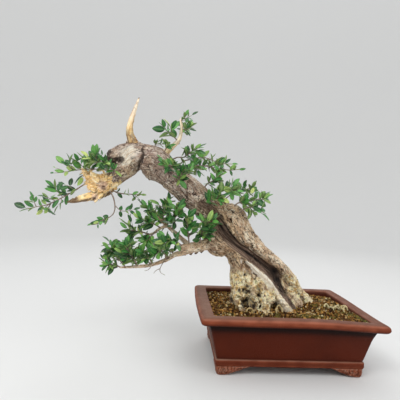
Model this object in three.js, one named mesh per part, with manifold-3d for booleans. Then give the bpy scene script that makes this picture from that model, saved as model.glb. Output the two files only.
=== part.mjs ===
// Olive bonsai: an old leaning olive trunk with bleached deadwood and sparse leafy shoots, in a
// rectangular unglazed clay pot on four cloud feet. Millimetres, +Z up. The tree and the pot are
// laid out about a point on the table under the pot's middle, X along the pot's long side and Y
// towards its back; the finished group is then shifted so that its origin is the middle of the
// whole object's footprint.
import * as THREE from "three";
import { mergeVertices } from "three/addons/utils/BufferGeometryUtils.js";
import Module from "manifold-3d";

const wasm = await Module();
wasm.setup();

// ---- Driving dimensions -------------------------------------------------------------------

const POT = {
  length: 328, // over the lip
  depth: 246,
  height: 106,
  lipWidth: 31, // flat top of the lip
  lipThick: 14,
  underLip: 16, // how far the lip overhangs the wall
  baseInset: 30.5, // the base is this much smaller than the lip, each side
  footHeight: 16,
  floorThick: 11,
  bandHeight: 11,
  bandProud: 1.6,
  cornerRadius: 7,
  drainRadius: 11,
  drainSpacing: 130,
};
const FOOT = { long: 58, short: 46, thick: 15, flat: 22 };
const SCREEN = { side: 38, thick: 1.2, hole: 6, pitch: 9, across: 2 };
const SOIL = {
  edge: 98, // height of the soil at the pot's wall
  mound: 8, // how much higher it is round the trunk
  moundX: -12,
  moundY: 6,
  spreadX: 92,
  spreadY: 52,
  grit: 1.6, // relief of the granules
  columns: 16,
  rows: 11,
};
const GAP = 0.3; // clearance between pieces that touch
const LEAF = {
  widthShare: 0.5, // width over length
  thick: 1.1,
  curl: 0.1, // how far the tip bends back, over the length
  open: 52, // degrees between a leaf and its twig
  openSpread: 16,
  closing: 0.35, // how much less the youngest leaves open
  shrinking: 0.22, // how much shorter the youngest leaves are
  lift: 0.12, // how far leaves turn up to the light
  swing: 0.42, // one turn about the twig in search of free room, in radians
  retries: 5,
};
const STEM = { sides: 3, base: 1.9, tip: 0.9, slots: 40, spacing: 6, seed: 7919 };

// ---- Small tools --------------------------------------------------------------------------

const vec = (row) => new THREE.Vector3(row[0], row[1], row[2]);
const radians = THREE.MathUtils.degToRad;

// A repeatable stream of numbers from 0 to 1.
function stream(seed) {
  let state = seed >>> 0;
  return () => {
    state = (Math.imul(state, 1664525) + 1013904223) >>> 0;
    return state / 4294967296;
  };
}

// A smooth curve through rows of numbers, at t from 0 to 1.
function along(rows, t) {
  const last = rows.length - 1;
  const place = Math.min(Math.max(t, 0), 1) * last;
  const i = Math.min(Math.floor(place), last - 1);
  const w = place - i;
  const b = rows[i];
  const c = rows[i + 1];
  const a = rows[i - 1] ?? b.map((v, k) => 2 * v - c[k]);
  const d = rows[i + 2] ?? c.map((v, k) => 2 * v - b[k]);
  return b.map((v, k) => {
    const linear = (c[k] - a[k]) * w;
    const square = (2 * a[k] - 5 * v + 4 * c[k] - d[k]) * w * w;
    const cubic = (3 * v - a[k] - 3 * c[k] + d[k]) * w * w * w;
    return 0.5 * (2 * v + linear + square + cubic);
  });
}

function solidFrom(points, triangles) {
  const mesh = new wasm.Mesh({
    numProp: 3,
    vertProperties: new Float32Array(points.flatMap((p) => [p.x, p.y, p.z])),
    triVerts: new Uint32Array(triangles.flat()),
  });
  return new wasm.Manifold(mesh);
}

function solidFromGeometry(geometry) {
  const bare = geometry.clone();
  bare.deleteAttribute("normal");
  bare.deleteAttribute("uv");
  const merged = mergeVertices(bare, 1e-4);
  const mesh = new wasm.Mesh({
    numProp: 3,
    vertProperties: new Float32Array(merged.attributes.position.array),
    triVerts: new Uint32Array(merged.index.array),
  });
  return new wasm.Manifold(mesh);
}

function geometryFrom(solid) {
  const mesh = solid.getMesh();
  const points = new Float32Array(mesh.numVert * 3);
  for (let i = 0; i < mesh.numVert; i += 1) {
    const start = i * mesh.numProp;
    points.set(mesh.vertProperties.subarray(start, start + 3), i * 3);
  }
  const geometry = new THREE.BufferGeometry();
  geometry.setAttribute("position", new THREE.BufferAttribute(points, 3));
  geometry.setIndex(new THREE.BufferAttribute(new Uint32Array(mesh.triVerts), 1));
  geometry.computeVertexNormals();
  return geometry;
}

// Closed rings of equally many points, skinned one to the next and capped with a fan at each end.
function loft(rings) {
  const sides = rings[0].length;
  const points = rings.flat();
  const triangles = [];
  for (let i = 0; i + 1 < rings.length; i += 1) {
    for (let j = 0; j < sides; j += 1) {
      const a = i * sides + j;
      const b = i * sides + ((j + 1) % sides);
      triangles.push([a, b, b + sides], [a, b + sides, a + sides]);
    }
  }
  const middle = (ring) => ring.reduce((sum, p) => sum.add(p), new THREE.Vector3()).divideScalar(sides);
  const first = points.push(middle(rings[0])) - 1;
  const last = points.push(middle(rings.at(-1))) - 1;
  const end = (rings.length - 1) * sides;
  for (let j = 0; j < sides; j += 1) {
    const next = (j + 1) % sides;
    triangles.push([first, next, j], [last, end + j, end + next]);
  }
  return solidFrom(points, triangles);
}

const joined = (solids) => wasm.Manifold.union(solids);

const box = (x0, x1, y0, y1, z0, z1) =>
  solidFromGeometry(
    new THREE.BoxGeometry(x1 - x0, y1 - y0, z1 - z0).translate((x0 + x1) / 2, (y0 + y1) / 2, (z0 + z1) / 2),
  );

// Frames along a limb: its middle, its direction, and two directions across it. "deep" starts as
// near +Y as it can and is carried along without twisting.
function framesOf(rows, steps) {
  const frames = [];
  let deep = null;
  for (let i = 0; i <= steps; i += 1) {
    const t = i / steps;
    const ahead = vec(along(rows, t + 0.004));
    const behind = vec(along(rows, t - 0.004));
    const forward = ahead.sub(behind).normalize();
    if (!deep) deep = Math.abs(forward.y) > 0.8 ? new THREE.Vector3(1, 0, 0) : new THREE.Vector3(0, 1, 0);
    deep = deep.clone().addScaledVector(forward, -deep.dot(forward)).normalize();
    const across = new THREE.Vector3().crossVectors(deep, forward);
    frames.push({ row: along(rows, t), forward, deep, across });
  }
  return frames;
}

// A limb: rows of [x, y, z, radius, radius in depth]. "lobes" raises long flutes on it, and "grow"
// makes it that much fatter and longer, for cutting a clearance.
function limb({ rows, sides = 10, steps, lobes = 0, relief = 0.1, twist = 0.3, grow = 0 }) {
  const frames = framesOf(rows, steps);
  const rings = frames.map(({ row, forward, deep, across }, i) => {
    const beyond = { 0: -grow, [steps]: grow }[i] ?? 0;
    const middle = vec(row).addScaledVector(forward, beyond);
    return Array.from({ length: sides }, (_, j) => {
      const angle = (2 * Math.PI * j) / sides;
      const flute = 1 + relief * Math.sin(lobes * angle + twist * i) * Math.sign(lobes);
      const wide = row[3] * flute + grow;
      const thick = row[4] * flute + grow;
      return middle
        .clone()
        .addScaledVector(across, wide * Math.cos(angle))
        .addScaledVector(deep, thick * Math.sin(angle));
    });
  });
  return loft(rings);
}

// ---- Pot ----------------------------------------------------------------------------------

// One level of the pot: a rectangle with round corners, given its half sizes.
function roundedRing(halfX, halfY, z, radius, corner = 2) {
  const ring = [];
  const corners = [[1, 1], [-1, 1], [-1, -1], [1, -1]];
  corners.forEach(([sx, sy], quarter) => {
    for (let k = 0; k <= corner; k += 1) {
      const angle = (Math.PI / 2) * (quarter + k / corner);
      const x = sx * (halfX - radius) + radius * Math.cos(angle);
      const y = sy * (halfY - radius) + radius * Math.sin(angle);
      ring.push(new THREE.Vector3(x, y, z));
    }
  });
  return ring;
}

// The room inside the pot, drawn in by "inset" on every side but the top.
function cavity(inset, top) {
  const halfX = POT.length / 2 - POT.lipWidth - inset;
  const halfY = POT.depth / 2 - POT.lipWidth - inset;
  const floor = POT.footHeight + POT.floorThick + inset;
  const taper = POT.baseInset - POT.underLip - 3.5;
  const radius = POT.cornerRadius;
  return loft([
    roundedRing(halfX - taper, halfY - taper, floor, radius),
    roundedRing(halfX, halfY, POT.height - 8, radius),
    roundedRing(halfX, halfY, top, radius),
  ]);
}

// A cloud foot: a bracket round one corner of the base, whose lower edge rises in scallops.
function foot(signX, signY) {
  const top = POT.footHeight + 1;
  const outline = (reach) => {
    const shape = new THREE.Shape();
    const span = reach - FOOT.flat;
    shape.moveTo(0, 0);
    shape.lineTo(FOOT.flat, 0);
    shape.quadraticCurveTo(FOOT.flat + 0.06 * span, 0.3 * top, FOOT.flat + 0.3 * span, 0.3 * top);
    shape.quadraticCurveTo(FOOT.flat + 0.36 * span, 0.58 * top, FOOT.flat + 0.62 * span, 0.58 * top);
    shape.quadraticCurveTo(FOOT.flat + 0.7 * span, 0.9 * top, reach, 0.94 * top);
    shape.lineTo(reach, top);
    shape.lineTo(0, top);
    shape.closePath();
    return new THREE.ExtrudeGeometry(shape, { depth: FOOT.thick, bevelEnabled: false, curveSegments: 2 });
  };
  const halfX = POT.length / 2 - POT.baseInset - 0.5;
  const halfY = POT.depth / 2 - POT.baseInset - 0.5;
  // The outline stands up from X along the front, and from Y along the side.
  const front = solidFromGeometry(outline(FOOT.long).rotateX(Math.PI / 2).translate(0, FOOT.thick, 0));
  const side = solidFromGeometry(outline(FOOT.short).rotateX(Math.PI / 2).rotateZ(Math.PI / 2));
  const bracket = joined([front, side]).translate([-halfX, -halfY, 0]);
  return bracket.scale([-signX, -signY, 1]);
}

function potSolid() {
  const halfX = POT.length / 2;
  const halfY = POT.depth / 2;
  const level = (inset, z, radius) => roundedRing(halfX - inset, halfY - inset, z, radius);
  const underside = POT.height - POT.lipThick;
  const band = POT.footHeight + POT.bandHeight;
  const nose = POT.lipThick / 2;
  const noseRings = [-60, -20, 20, 60].map((degrees) => {
    const inset = nose * 0.8 * (1 - Math.cos(radians(degrees)));
    return level(inset, underside + nose + nose * Math.sin(radians(degrees)), POT.cornerRadius);
  });
  const outside = loft([
    level(POT.baseInset + 1, POT.footHeight, 5),
    level(POT.baseInset - 0.2, POT.footHeight + 2, 5),
    level(POT.baseInset - 0.2, band - 1, 5),
    level(POT.baseInset + POT.bandProud, band + 1, 5),
    level(POT.underLip + 1, underside - 6, 5),
    level(POT.underLip - 2, underside - 1.5, 5),
    level(5.5, underside, 6),
    ...noseRings,
    level(7.5, POT.height, POT.cornerRadius),
  ]);
  const drains = [-1, 1].map((side) =>
    solidFromGeometry(
      new THREE.CylinderGeometry(POT.drainRadius, POT.drainRadius, 3 * POT.footHeight, 12)
        .rotateX(Math.PI / 2)
        .translate((side * POT.drainSpacing) / 2, 0, POT.footHeight + POT.floorThick / 2),
    ),
  );
  const feet = [[-1, -1], [1, -1], [-1, 1], [1, 1]].map(([x, y]) => foot(x, y));
  return joined([outside, ...feet]).subtract(cavity(0, POT.height + 5)).subtract(joined(drains));
}

// ---- Drain screens: square mesh plates that keep the soil out of the drain holes --------------

function screenSolid(side, grow = 0) {
  const half = SCREEN.side / 2 + grow;
  const middle = (side * POT.drainSpacing) / 2;
  const floor = POT.footHeight + POT.floorThick;
  const under = grow > 0 ? floor : floor + GAP;
  const plate = box(middle - half, middle + half, -half, half, under, floor + GAP + SCREEN.thick + grow);
  if (grow > 0) return plate;
  const holes = [];
  const middleHole = (SCREEN.across - 1) / 2;
  for (let i = 0; i < SCREEN.across; i += 1) {
    for (let j = 0; j < SCREEN.across; j += 1) {
      const x = middle + (i - middleHole) * SCREEN.pitch;
      const y = (j - middleHole) * SCREEN.pitch;
      const reach = SCREEN.hole / 2;
      holes.push(box(x - reach, x + reach, y - reach, y + reach, floor - 5, floor + 5));
    }
  }
  return plate.subtract(joined(holes));
}

// ---- Tree: rows of [x, y, z, radius, radius in depth] ---------------------------------------

// The lower trunk is made of strands that have grown together round a hollow: the bark strand on
// the right, the bare ridge under the dark hollow, the lichen-covered buttress on the left, and
// roots that spread into the soil.
const LOWER_TRUNK = [
  { // heartwood, which the dark hollow shows
    rows: [[10, 12, 84, 50, 40], [4, 12, 98, 47, 40], [-14, 12, 130, 33, 32], [-46, 10, 172, 21, 26],
      [-88, 8, 216, 20, 25], [-124, 6, 252, 22, 25], [-152, 2, 284, 24, 25]],
    sides: 8, steps: 5,
  },
  { // bark strand, from its shoulder down to the right-hand root
    rows: [[-122, 4, 290, 12, 18], [-98, 4, 277, 20, 25], [-74, 4, 246, 15.5, 24],
      [-35, 5, 203, 13, 22], [2, 9, 175, 13, 21], [25, 14, 148, 15, 21], [39, 21, 122, 17, 21],
      [60, 30, 104, 16, 17], [86, 38, 88, 10, 12]],
    sides: 9, steps: 12, lobes: 4, relief: 0.08,
  },
  { // bare ridge
    rows: [[-98, -8, 208, 6, 9], [-72, -14, 187, 8, 11], [-40, -19, 160, 9.5, 13],
      [-9, -22, 131, 12, 14], [10, -25, 111, 14, 15], [18, -27, 92, 11, 12]],
    sides: 8, steps: 8, lobes: 3, relief: 0.07,
  },
  { // left strand and buttress
    rows: [[-158, 1, 250, 15, 20], [-132, 2, 228, 20, 24], [-104, 2, 204, 19, 25],
      [-86, 2, 178, 17, 25], [-79, 1, 152, 20, 26], [-76, 2, 128, 20, 26], [-76, 4, 108, 22, 28],
      [-78, 6, 90, 16, 20]],
    sides: 9, steps: 10, lobes: 4, relief: 0.08,
  },
  { // middle buttress
    rows: [[-66, -6, 172, 9, 12], [-55, -14, 150, 13, 16], [-44, -20, 126, 17, 18],
      [-36, -25, 106, 18, 18], [-32, -28, 90, 12, 13]],
    sides: 8, steps: 6, lobes: 3, relief: 0.12,
  },
  { // surface roots under the front
    rows: [[-72, -18, 124, 8], [-81, -28, 113, 7], [-77, -39, 101, 6], [-72, -46, 92, 5]],
    sides: 6, steps: 4,
  },
  { rows: [[-50, -24, 122, 12], [-53, -34, 108, 11], [-56, -42, 94, 8]], sides: 7, steps: 3 },
  { rows: [[-18, -28, 118, 12], [-14, -37, 106, 11], [-12, -44, 94, 8]], sides: 7, steps: 3 },
  { rows: [[18, -24, 118, 12], [25, -34, 106, 10], [32, -42, 94, 7]], sides: 7, steps: 3 },
  { // back strand and root
    rows: [[-78, 22, 196, 14, 14], [-62, 32, 160, 17, 17], [-50, 42, 126, 19, 18],
      [-44, 54, 106, 17, 15], [-38, 66, 90, 10, 10]],
    sides: 8, steps: 6, lobes: 3, relief: 0.08,
  },
  { // second back root
    rows: [[-6, 22, 166, 13, 13], [10, 38, 132, 16, 15], [24, 52, 108, 14, 13], [36, 64, 90, 8, 8]],
    sides: 8, steps: 5, lobes: 3, relief: 0.08,
  },
];

const UPPER_TRUNK = [
  { // from the shoulder over the knuckle and down to the crown
    rows: [[-62, 10, 188, 14, 18], [-92, 6, 222, 17, 21], [-118, 2, 256, 22, 25],
      [-143, 0, 283, 27, 27], [-173, -4, 306, 26.5, 27], [-206, -8, 331, 25.5, 26],
      [-236, -10, 354, 25, 26], [-260, -10, 374, 29, 30], [-282, -9, 384, 24, 25],
      [-303, -8, 380, 26, 27], [-320, -6, 360, 20, 22], [-336, -5, 343, 16, 19],
      [-352, -6, 328, 12, 14]],
    sides: 11, steps: 19, lobes: 4, relief: 0.05, twist: 0.5,
  },
  { // broken knob at the top left
    rows: [[-292, -8, 386, 17, 19], [-308, -8, 392, 16, 17], [-324, -8, 390, 14, 15],
      [-338, -9, 385, 12, 12], [-350, -9, 381, 8.5, 9]],
    sides: 8, steps: 5, lobes: 3, relief: 0.12,
  },
  { // old cut scar on the shoulder's back
    rows: [[-126, 12, 286, 15], [-118, 20, 300, 11], [-113, 24, 306, 8]],
    sides: 8, steps: 3,
  },
];

const DEADWOOD = [
  { // standing spike
    rows: [[-296, -8, 386, 14], [-306, -8, 400, 12], [-313, -8, 414, 8], [-315, -8, 429, 6.2],
      [-311, -8, 453, 4.6], [-305, -6, 478, 2.8], [-300, -4, 503, 0.7]],
    sides: 7, steps: 8, lobes: 3, relief: 0.08,
  },
  { // second spike, still carrying live twigs
    rows: [[-250, -12, 374, 8], [-244, -14, 386, 5.8], [-237, -16, 397, 4.8], [-226, -16, 409, 4.2],
      [-216, -16, 422, 3.6], [-213, -14, 442, 3], [-216, -12, 463, 2]],
    sides: 6, steps: 9,
  },
  { // torn wood of the crown
    rows: [[-334, -5, 341, 13, 18], [-350, -6, 333, 17, 19], [-366, -7, 331, 17, 17],
      [-382, -8, 337, 13, 13], [-395, -8, 346, 8, 9], [-406, -8, 356, 2.5, 3]],
    sides: 9, steps: 7, lobes: 4, relief: 0.16,
  },
  { // torn wood between the crown's two spikes
    rows: [[-344, -6, 332, 15], [-358, -8, 321, 16], [-372, -8, 317, 14], [-386, -8, 322, 9],
      [-396, -8, 330, 1.5]],
    sides: 8, steps: 5, lobes: 3, relief: 0.14,
  },
  { // lower spike
    rows: [[-346, -6, 330, 14, 15], [-358, -7, 315, 14, 13], [-376, -9, 303, 9.5, 10],
      [-398, -10, 296, 7.5, 8], [-414, -10, 291, 5], [-427, -10, 287, 1.2]],
    sides: 7, steps: 8, lobes: 3, relief: 0.14,
  },
  { rows: [[-358, -14, 312, 7], [-368, -17, 299, 4], [-374, -19, 288, 0.8]], sides: 5, steps: 3 },
  { rows: [[-372, -14, 336, 8], [-379, -20, 344, 5], [-383, -24, 354, 0.8]], sides: 5, steps: 3 },
  { rows: [[-352, -16, 336, 8], [-355, -24, 345, 5], [-360, -29, 353, 0.8]], sides: 5, steps: 3 },
  { rows: [[-378, 2, 334, 7], [-391, 6, 331, 4], [-402, 9, 326, 0.8]], sides: 5, steps: 3 },
];

const BRANCHES = [
  { // lower branch, cut back to a stub
    rows: [[-120, 0, 222, 16], [-136, -4, 217, 14], [-152, -7, 216, 11.5], [-173, -10, 211, 10.5],
      [-192, -13, 208, 10], [-203, -15, 206, 9]],
    sides: 9, steps: 6, lobes: 3, relief: 0.06,
  },
  { // thin live branch under the stub
    rows: [[-184, -12, 206, 7.5], [-200, -15, 199, 6], [-214, -16, 195, 5], [-230, -18, 185, 4.2],
      [-258, -20, 174, 3.4], [-285, -20, 170, 2.8], [-306, -20, 168, 2.2], [-318, -20, 167, 1.6]],
    sides: 6, steps: 12,
  },
  { // upper live branch
    rows: [[-184, -11, 212, 6], [-203, -6, 227, 4.4], [-222, -2, 242, 4], [-236, 0, 253, 3.4],
      [-250, 0, 265, 2.6], [-262, 0, 274, 1.7]],
    sides: 6, steps: 8,
  },
  { // arching side branch
    rows: [[-231, -1, 250, 3.2], [-246, -4, 244, 2.8], [-258, -5, 234, 2.4], [-272, -7, 230, 2]],
    sides: 5, steps: 5,
  },
];

// Every row gets a radius in depth; where none is given, the limb is round there.
const LIMBS = [...LOWER_TRUNK, ...UPPER_TRUNK, ...DEADWOOD, ...BRANCHES].map((part) => ({
  ...part,
  rows: part.rows.map(([x, y, z, wide, thick = wide]) => [x, y, z, wide, thick]),
}));

const trunkSolid = (grow) => joined(LIMBS.map((part) => limb({ ...part, grow })));

// ---- Leafy stems ----------------------------------------------------------------------------

// Each stem is a twig along "path" with leaves in opposite pairs from "from" (a share of its
// length) to its tip. "leaf" is the length of its longest leaf.
const STEMS = [
  { name: "crown_far_left", from: 0.42, pairs: 6, leaf: 27,
    path: [[-342, 8, 338], [-374, 14, 337], [-396, 8, 327], [-418, 2, 310], [-439, -4, 295],
      [-463, -8, 281], [-485, -10, 275], [-501, -10, 270]] },
  { name: "crown_upper_left", from: 0.3, pairs: 3, leaf: 27,
    path: [[-336, 6, 349], [-352, 17, 355], [-376, 20, 357], [-400, 12, 355], [-419, -2, 350],
      [-436, -10, 345]] },
  { name: "crown_tuft_left", from: 0.25, pairs: 3, leaf: 31,
    path: [[-344, -6, 342], [-354, -10, 358], [-366, -12, 369], [-379, -12, 378], [-389, -14, 384]] },
  { name: "crown_tuft_front", from: 0.3, pairs: 3, leaf: 28,
    path: [[-330, -12, 345], [-337, -24, 357], [-345, -30, 367], [-352, -34, 377]] },
  { name: "crown_tuft_back", from: 0.3, pairs: 3, leaf: 28,
    path: [[-330, 6, 350], [-348, 26, 368], [-370, 42, 380], [-390, 52, 385]] },
  { name: "crown_under_right", from: 0.25, pairs: 3, leaf: 15,
    path: [[-346, -6, 316], [-329, -4, 310], [-308, -2, 309], [-287, 2, 309]] },
  { name: "crown_hanging", from: 0.7, pairs: 2, leaf: 21,
    path: [[-348, -12, 316], [-338, -14, 300], [-334, -14, 280], [-339, -12, 266], [-352, -12, 258],
      [-367, -12, 253]],
    side: { at: 0.42, path: [[-322, -18, 276], [-308, -20, 276], [-297, -20, 279]], pairs: 3, leaf: 18 } },
  { name: "top_left", from: 0.35, pairs: 3, leaf: 28,
    path: [[-216, -14, 412], [-223, -20, 421], [-233, -25, 428], [-243, -28, 435]] },
  { name: "top_tip", from: 0.45, pairs: 2, leaf: 21, path: [[-215, -12, 457], [-213, -12, 468],
      [-206, -14, 477]] },
  { name: "top_right", from: 0.4, pairs: 3, leaf: 22, path: [[-215, -13, 441], [-205, -18, 440],
      [-196, -22, 444]] },
  { name: "top_back", from: 0.35, pairs: 3, leaf: 25,
    path: [[-214, -13, 432], [-209, 2, 442], [-206, 18, 453], [-204, 28, 464]] },
  { name: "knuckle_left", from: 0.45, pairs: 3, leaf: 15, path: [[-262, -8, 390], [-264, -4, 407],
      [-260, 0, 416]] },
  { name: "knuckle_mid", from: 0.45, pairs: 3, leaf: 19,
    path: [[-247, -22, 384], [-240, -30, 402], [-237, -34, 412]] },
  { name: "right_near", from: 0.4, pairs: 4, leaf: 25,
    path: [[-238, -12, 372], [-221, -12, 385], [-205, -14, 387], [-194, -16, 396], [-185, -16, 406]] },
  { name: "right_long", from: 0.3, pairs: 5, leaf: 25,
    path: [[-222, -4, 356], [-204, -4, 371], [-188, -2, 372], [-164, 2, 374], [-137, 6, 371],
      [-110, 8, 369], [-89, 8, 372]] },
  { name: "right_upper", from: 0.35, pairs: 5, leaf: 25,
    path: [[-222, 8, 360], [-208, 16, 381], [-190, 20, 388], [-166, 22, 394], [-142, 24, 388],
      [-121, 26, 384], [-102, 26, 384]] },
  { name: "right_back", from: 0.35, pairs: 4, leaf: 26,
    path: [[-214, 10, 352], [-190, 36, 372], [-164, 56, 380], [-140, 72, 386]] },
  { name: "front_upper", from: 0.35, pairs: 3, leaf: 25,
    path: [[-236, -28, 355], [-234, -42, 364], [-230, -52, 372], [-228, -60, 382]] },
  { name: "front_lower", from: 0.35, pairs: 3, leaf: 26,
    path: [[-214, -26, 334], [-213, -42, 342], [-209, -51, 350], [-204, -58, 358]] },
  { name: "mid_right", from: 0.35, pairs: 3, leaf: 24,
    path: [[-168, -4, 322], [-155, -10, 338], [-142, -12, 345], [-132, -12, 354]] },
  { name: "mid_right_low", from: 0.3, pairs: 3, leaf: 26,
    path: [[-142, -8, 298], [-130, -12, 322], [-112, -12, 328], [-98, -12, 326]] },
  { name: "shoulder_right", from: 0.3, pairs: 5, leaf: 26,
    path: [[-104, -8, 286], [-95, -12, 301], [-75, -12, 306], [-55, -10, 311], [-42, -8, 317]] },
  { name: "shoulder_low", from: 0.4, pairs: 3, leaf: 24,
    path: [[-98, -8, 276], [-78, -30, 294], [-63, -34, 292], [-50, -34, 284]] },
  { name: "trunk_front", from: 0.35, pairs: 4, leaf: 26,
    path: [[-158, -22, 292], [-154, -38, 300], [-143, -46, 306], [-131, -50, 311]] },
  { name: "mid_back", from: 0.35, pairs: 4, leaf: 26,
    path: [[-128, 16, 296], [-104, 38, 318], [-80, 56, 330], [-60, 70, 336]] },
  { name: "branch_top", from: 0.3, pairs: 3, leaf: 24,
    path: [[-237, 0, 254], [-241, 2, 269], [-238, 4, 285], [-235, 6, 299]] },
  { name: "branch_top_left", from: 0.3, pairs: 3, leaf: 24, path: [[-256, 0, 270], [-267, -6, 279],
      [-277, -8, 285]] },
  { name: "branch_mid", from: 0.25, pairs: 4, leaf: 27,
    path: [[-222, -2, 242], [-219, -16, 258], [-215, -24, 274], [-212, -28, 288]] },
  { name: "branch_inner", from: 0.25, pairs: 4, leaf: 31,
    path: [[-186, -13, 212], [-190, -26, 238], [-193, -32, 258], [-197, -34, 276]] },
  { name: "branch_inner_right", from: 0.3, pairs: 3, leaf: 28,
    path: [[-164, -10, 212], [-166, -26, 234], [-161, -36, 250], [-156, -40, 262]] },
  { name: "arch_tip", from: 0.3, pairs: 3, leaf: 27,
    path: [[-266, -6, 232], [-282, -9, 236], [-297, -10, 237], [-309, -10, 241]] },
  { name: "arch_up", from: 0.3, pairs: 3, leaf: 27,
    path: [[-244, -4, 245], [-258, -12, 253], [-272, -18, 258], [-284, -20, 262]] },
  { name: "arch_down", from: 0.35, pairs: 3, leaf: 25, path: [[-255, -5, 237], [-262, -18, 228],
      [-269, -26, 219]] },
  { name: "stub_front", from: 0.3, pairs: 3, leaf: 26,
    path: [[-198, -14, 210], [-210, -30, 221], [-220, -38, 224], [-232, -42, 222]] },
  { name: "low_inner", from: 0.35, pairs: 3, leaf: 26,
    path: [[-228, -18, 186], [-233, -32, 198], [-240, -40, 206], [-250, -46, 212]] },
  { name: "low_mid", from: 0.3, pairs: 3, leaf: 27,
    path: [[-256, -20, 175], [-262, -26, 188], [-270, -30, 200], [-277, -32, 208]] },
  { name: "low_left", from: 0.3, pairs: 4, leaf: 27,
    path: [[-283, -20, 170], [-291, -26, 185], [-300, -30, 200], [-309, -32, 211]] },
  { name: "low_tip", from: 0.2, pairs: 4, leaf: 26,
    path: [[-315, -20, 167], [-326, -20, 169], [-338, -22, 166], [-349, -22, 162]] },
  { name: "low_up", from: 0.3, pairs: 4, leaf: 25,
    path: [[-307, -20, 168], [-321, -8, 180], [-332, 0, 192], [-339, 4, 204]] },
  { name: "low_back", from: 0.3, pairs: 4, leaf: 27,
    path: [[-212, -15, 196], [-228, 12, 200], [-250, 34, 206], [-274, 50, 210]] },
  { name: "branch_back", from: 0.3, pairs: 4, leaf: 27,
    path: [[-221, -2, 242], [-234, 22, 252], [-252, 42, 260], [-270, 56, 266]] },
  { name: "low_far_back", from: 0.3, pairs: 4, leaf: 26,
    path: [[-258, -19, 175], [-275, 6, 182], [-295, 26, 188], [-318, 42, 192]] },
];

// Balls along a path, which stand for it when a leaf looks for free room.
function ballsAlong(rows, count, owner, radiusOf) {
  return Array.from({ length: count + 1 }, (_, i) => {
    const row = along(rows, i / count);
    return { at: vec(row), radius: radiusOf(row, i / count), owner };
  });
}

const LEAF_BALLS = [0.3, 0.52, 0.74, 0.96];
const OWN_SHARE = 0.55; // leaves of one stem may stand this much closer than leaves of two stems
const LEAF_ROOM = 0.7;

function leafBalls(leaf, owner) {
  return LEAF_BALLS.map((share) => ({
    at: leaf.base.clone().addScaledVector(leaf.along, share * leaf.length),
    radius: 0.5 * leaf.width * (share > 0.9 ? 0.4 : 0.95),
    owner,
  }));
}

const blocked = (balls, taken) =>
  balls.some((a) =>
    taken.some((b) => {
      const room = (a.radius + b.radius) * (a.owner === b.owner ? OWN_SHARE : 1) + LEAF_ROOM;
      return a.at.distanceToSquared(b.at) < room * room;
    }),
  );

const LIGHT = new THREE.Vector3(0, -0.55, 0.55); // where the leaves' upper faces turn to

// One leaf: where it starts, which way it points and which way its upper face looks.
function leafAt(frame, turn, open, length) {
  const outward = frame.across
    .clone()
    .multiplyScalar(Math.cos(turn))
    .addScaledVector(frame.deep, Math.sin(turn));
  const direction = frame.forward
    .clone()
    .multiplyScalar(Math.cos(open))
    .addScaledVector(outward, Math.sin(open))
    .add(new THREE.Vector3(0, 0, LEAF.lift))
    .normalize();
  const face = frame.forward.clone().multiplyScalar(0.8).add(LIGHT);
  face.addScaledVector(direction, -face.dot(direction)).normalize();
  return { base: vec(frame.row), along: direction, face, length, width: length * LEAF.widthShare };
}

// The place of each pair of leaves on a twig, counted in slots.
function pairSlots(twig) {
  const first = twig.from * STEM.slots;
  const last = STEM.slots - 1;
  return Array.from({ length: twig.pairs + 1 }, (_, pair) =>
    Math.floor(first + ((last - first) * pair) / twig.pairs + 0.001),
  );
}

// The leaves of one twig. Each pair stands crosswise to the one before it, and a leaf with no free
// room is turned a little, up to LEAF.retries times, and then left out.
function leavesOf(twig, owner, taken, random) {
  const frames = framesOf(twig.path, STEM.slots);
  const slots = pairSlots(twig);
  const leaves = [];
  for (let pair = 0; pair <= twig.pairs; pair += 1) {
    const share = pair / twig.pairs;
    const frame = frames[slots[pair]];
    const terminal = pair === twig.pairs;
    const turn = pair * (Math.PI / 2) + 0.5 + 0.6 * random();
    const sides = terminal ? [0] : [0, Math.PI];
    const fresh = [];
    for (const side of sides) {
      const size = twig.leaf * (0.78 + 0.3 * random()) * (1 - LEAF.shrinking * share);
      const degrees = LEAF.open + LEAF.openSpread * (random() - 0.5);
      const lean = radians(degrees) * (1 - LEAF.closing * share);
      for (let attempt = 0; attempt <= LEAF.retries; attempt += 1) {
        const swing = (attempt % 2 ? 1 : -1) * Math.ceil(attempt / 2) * LEAF.swing;
        const open = terminal ? 0.12 + 0.2 * attempt : lean;
        const leaf = leafAt(frame, turn + side + swing, open, size);
        const balls = leafBalls(leaf, owner);
        if (!blocked(balls, taken)) {
          leaves.push(leaf);
          fresh.push(...balls);
          break;
        }
      }
    }
    taken.push(...fresh);
  }
  return leaves;
}

// A leaf blade: pointed at both ends, flat above, keeled along its midrib below, and curled back
// towards its tip. Its stalk end is sunk in the twig.
function bladeSolid(leaf) {
  const across = new THREE.Vector3().crossVectors(leaf.face, leaf.along);
  const stations = [[0.3, 0.94], [0.68, 0.86]];
  const place = (share, side, lift) =>
    leaf.base
      .clone()
      .addScaledVector(leaf.along, share * leaf.length)
      .addScaledVector(across, side)
      .addScaledVector(leaf.face, lift - LEAF.curl * leaf.length * share * share);
  const points = [leaf.base.clone()];
  for (const [share, fullness] of stations) {
    const half = 0.5 * leaf.width * fullness;
    points.push(place(share, -half, LEAF.thick / 2));
    points.push(place(share, 0, -LEAF.thick / 2));
    points.push(place(share, half, LEAF.thick / 2));
  }
  const tip = points.push(place(1, 0, 0)) - 1;
  const triangles = [];
  for (let j = 0; j < 3; j += 1) {
    const next = (j + 1) % 3;
    triangles.push([0, 1 + next, 1 + j]);
    for (let i = 0; i + 1 < stations.length; i += 1) {
      const a = 1 + 3 * i + j;
      const b = 1 + 3 * i + next;
      triangles.push([a, b, b + 3], [a, b + 3, a + 3]);
    }
    const end = 1 + 3 * (stations.length - 1);
    triangles.push([tip, end + j, end + next]);
  }
  return solidFrom(points, triangles);
}

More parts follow.
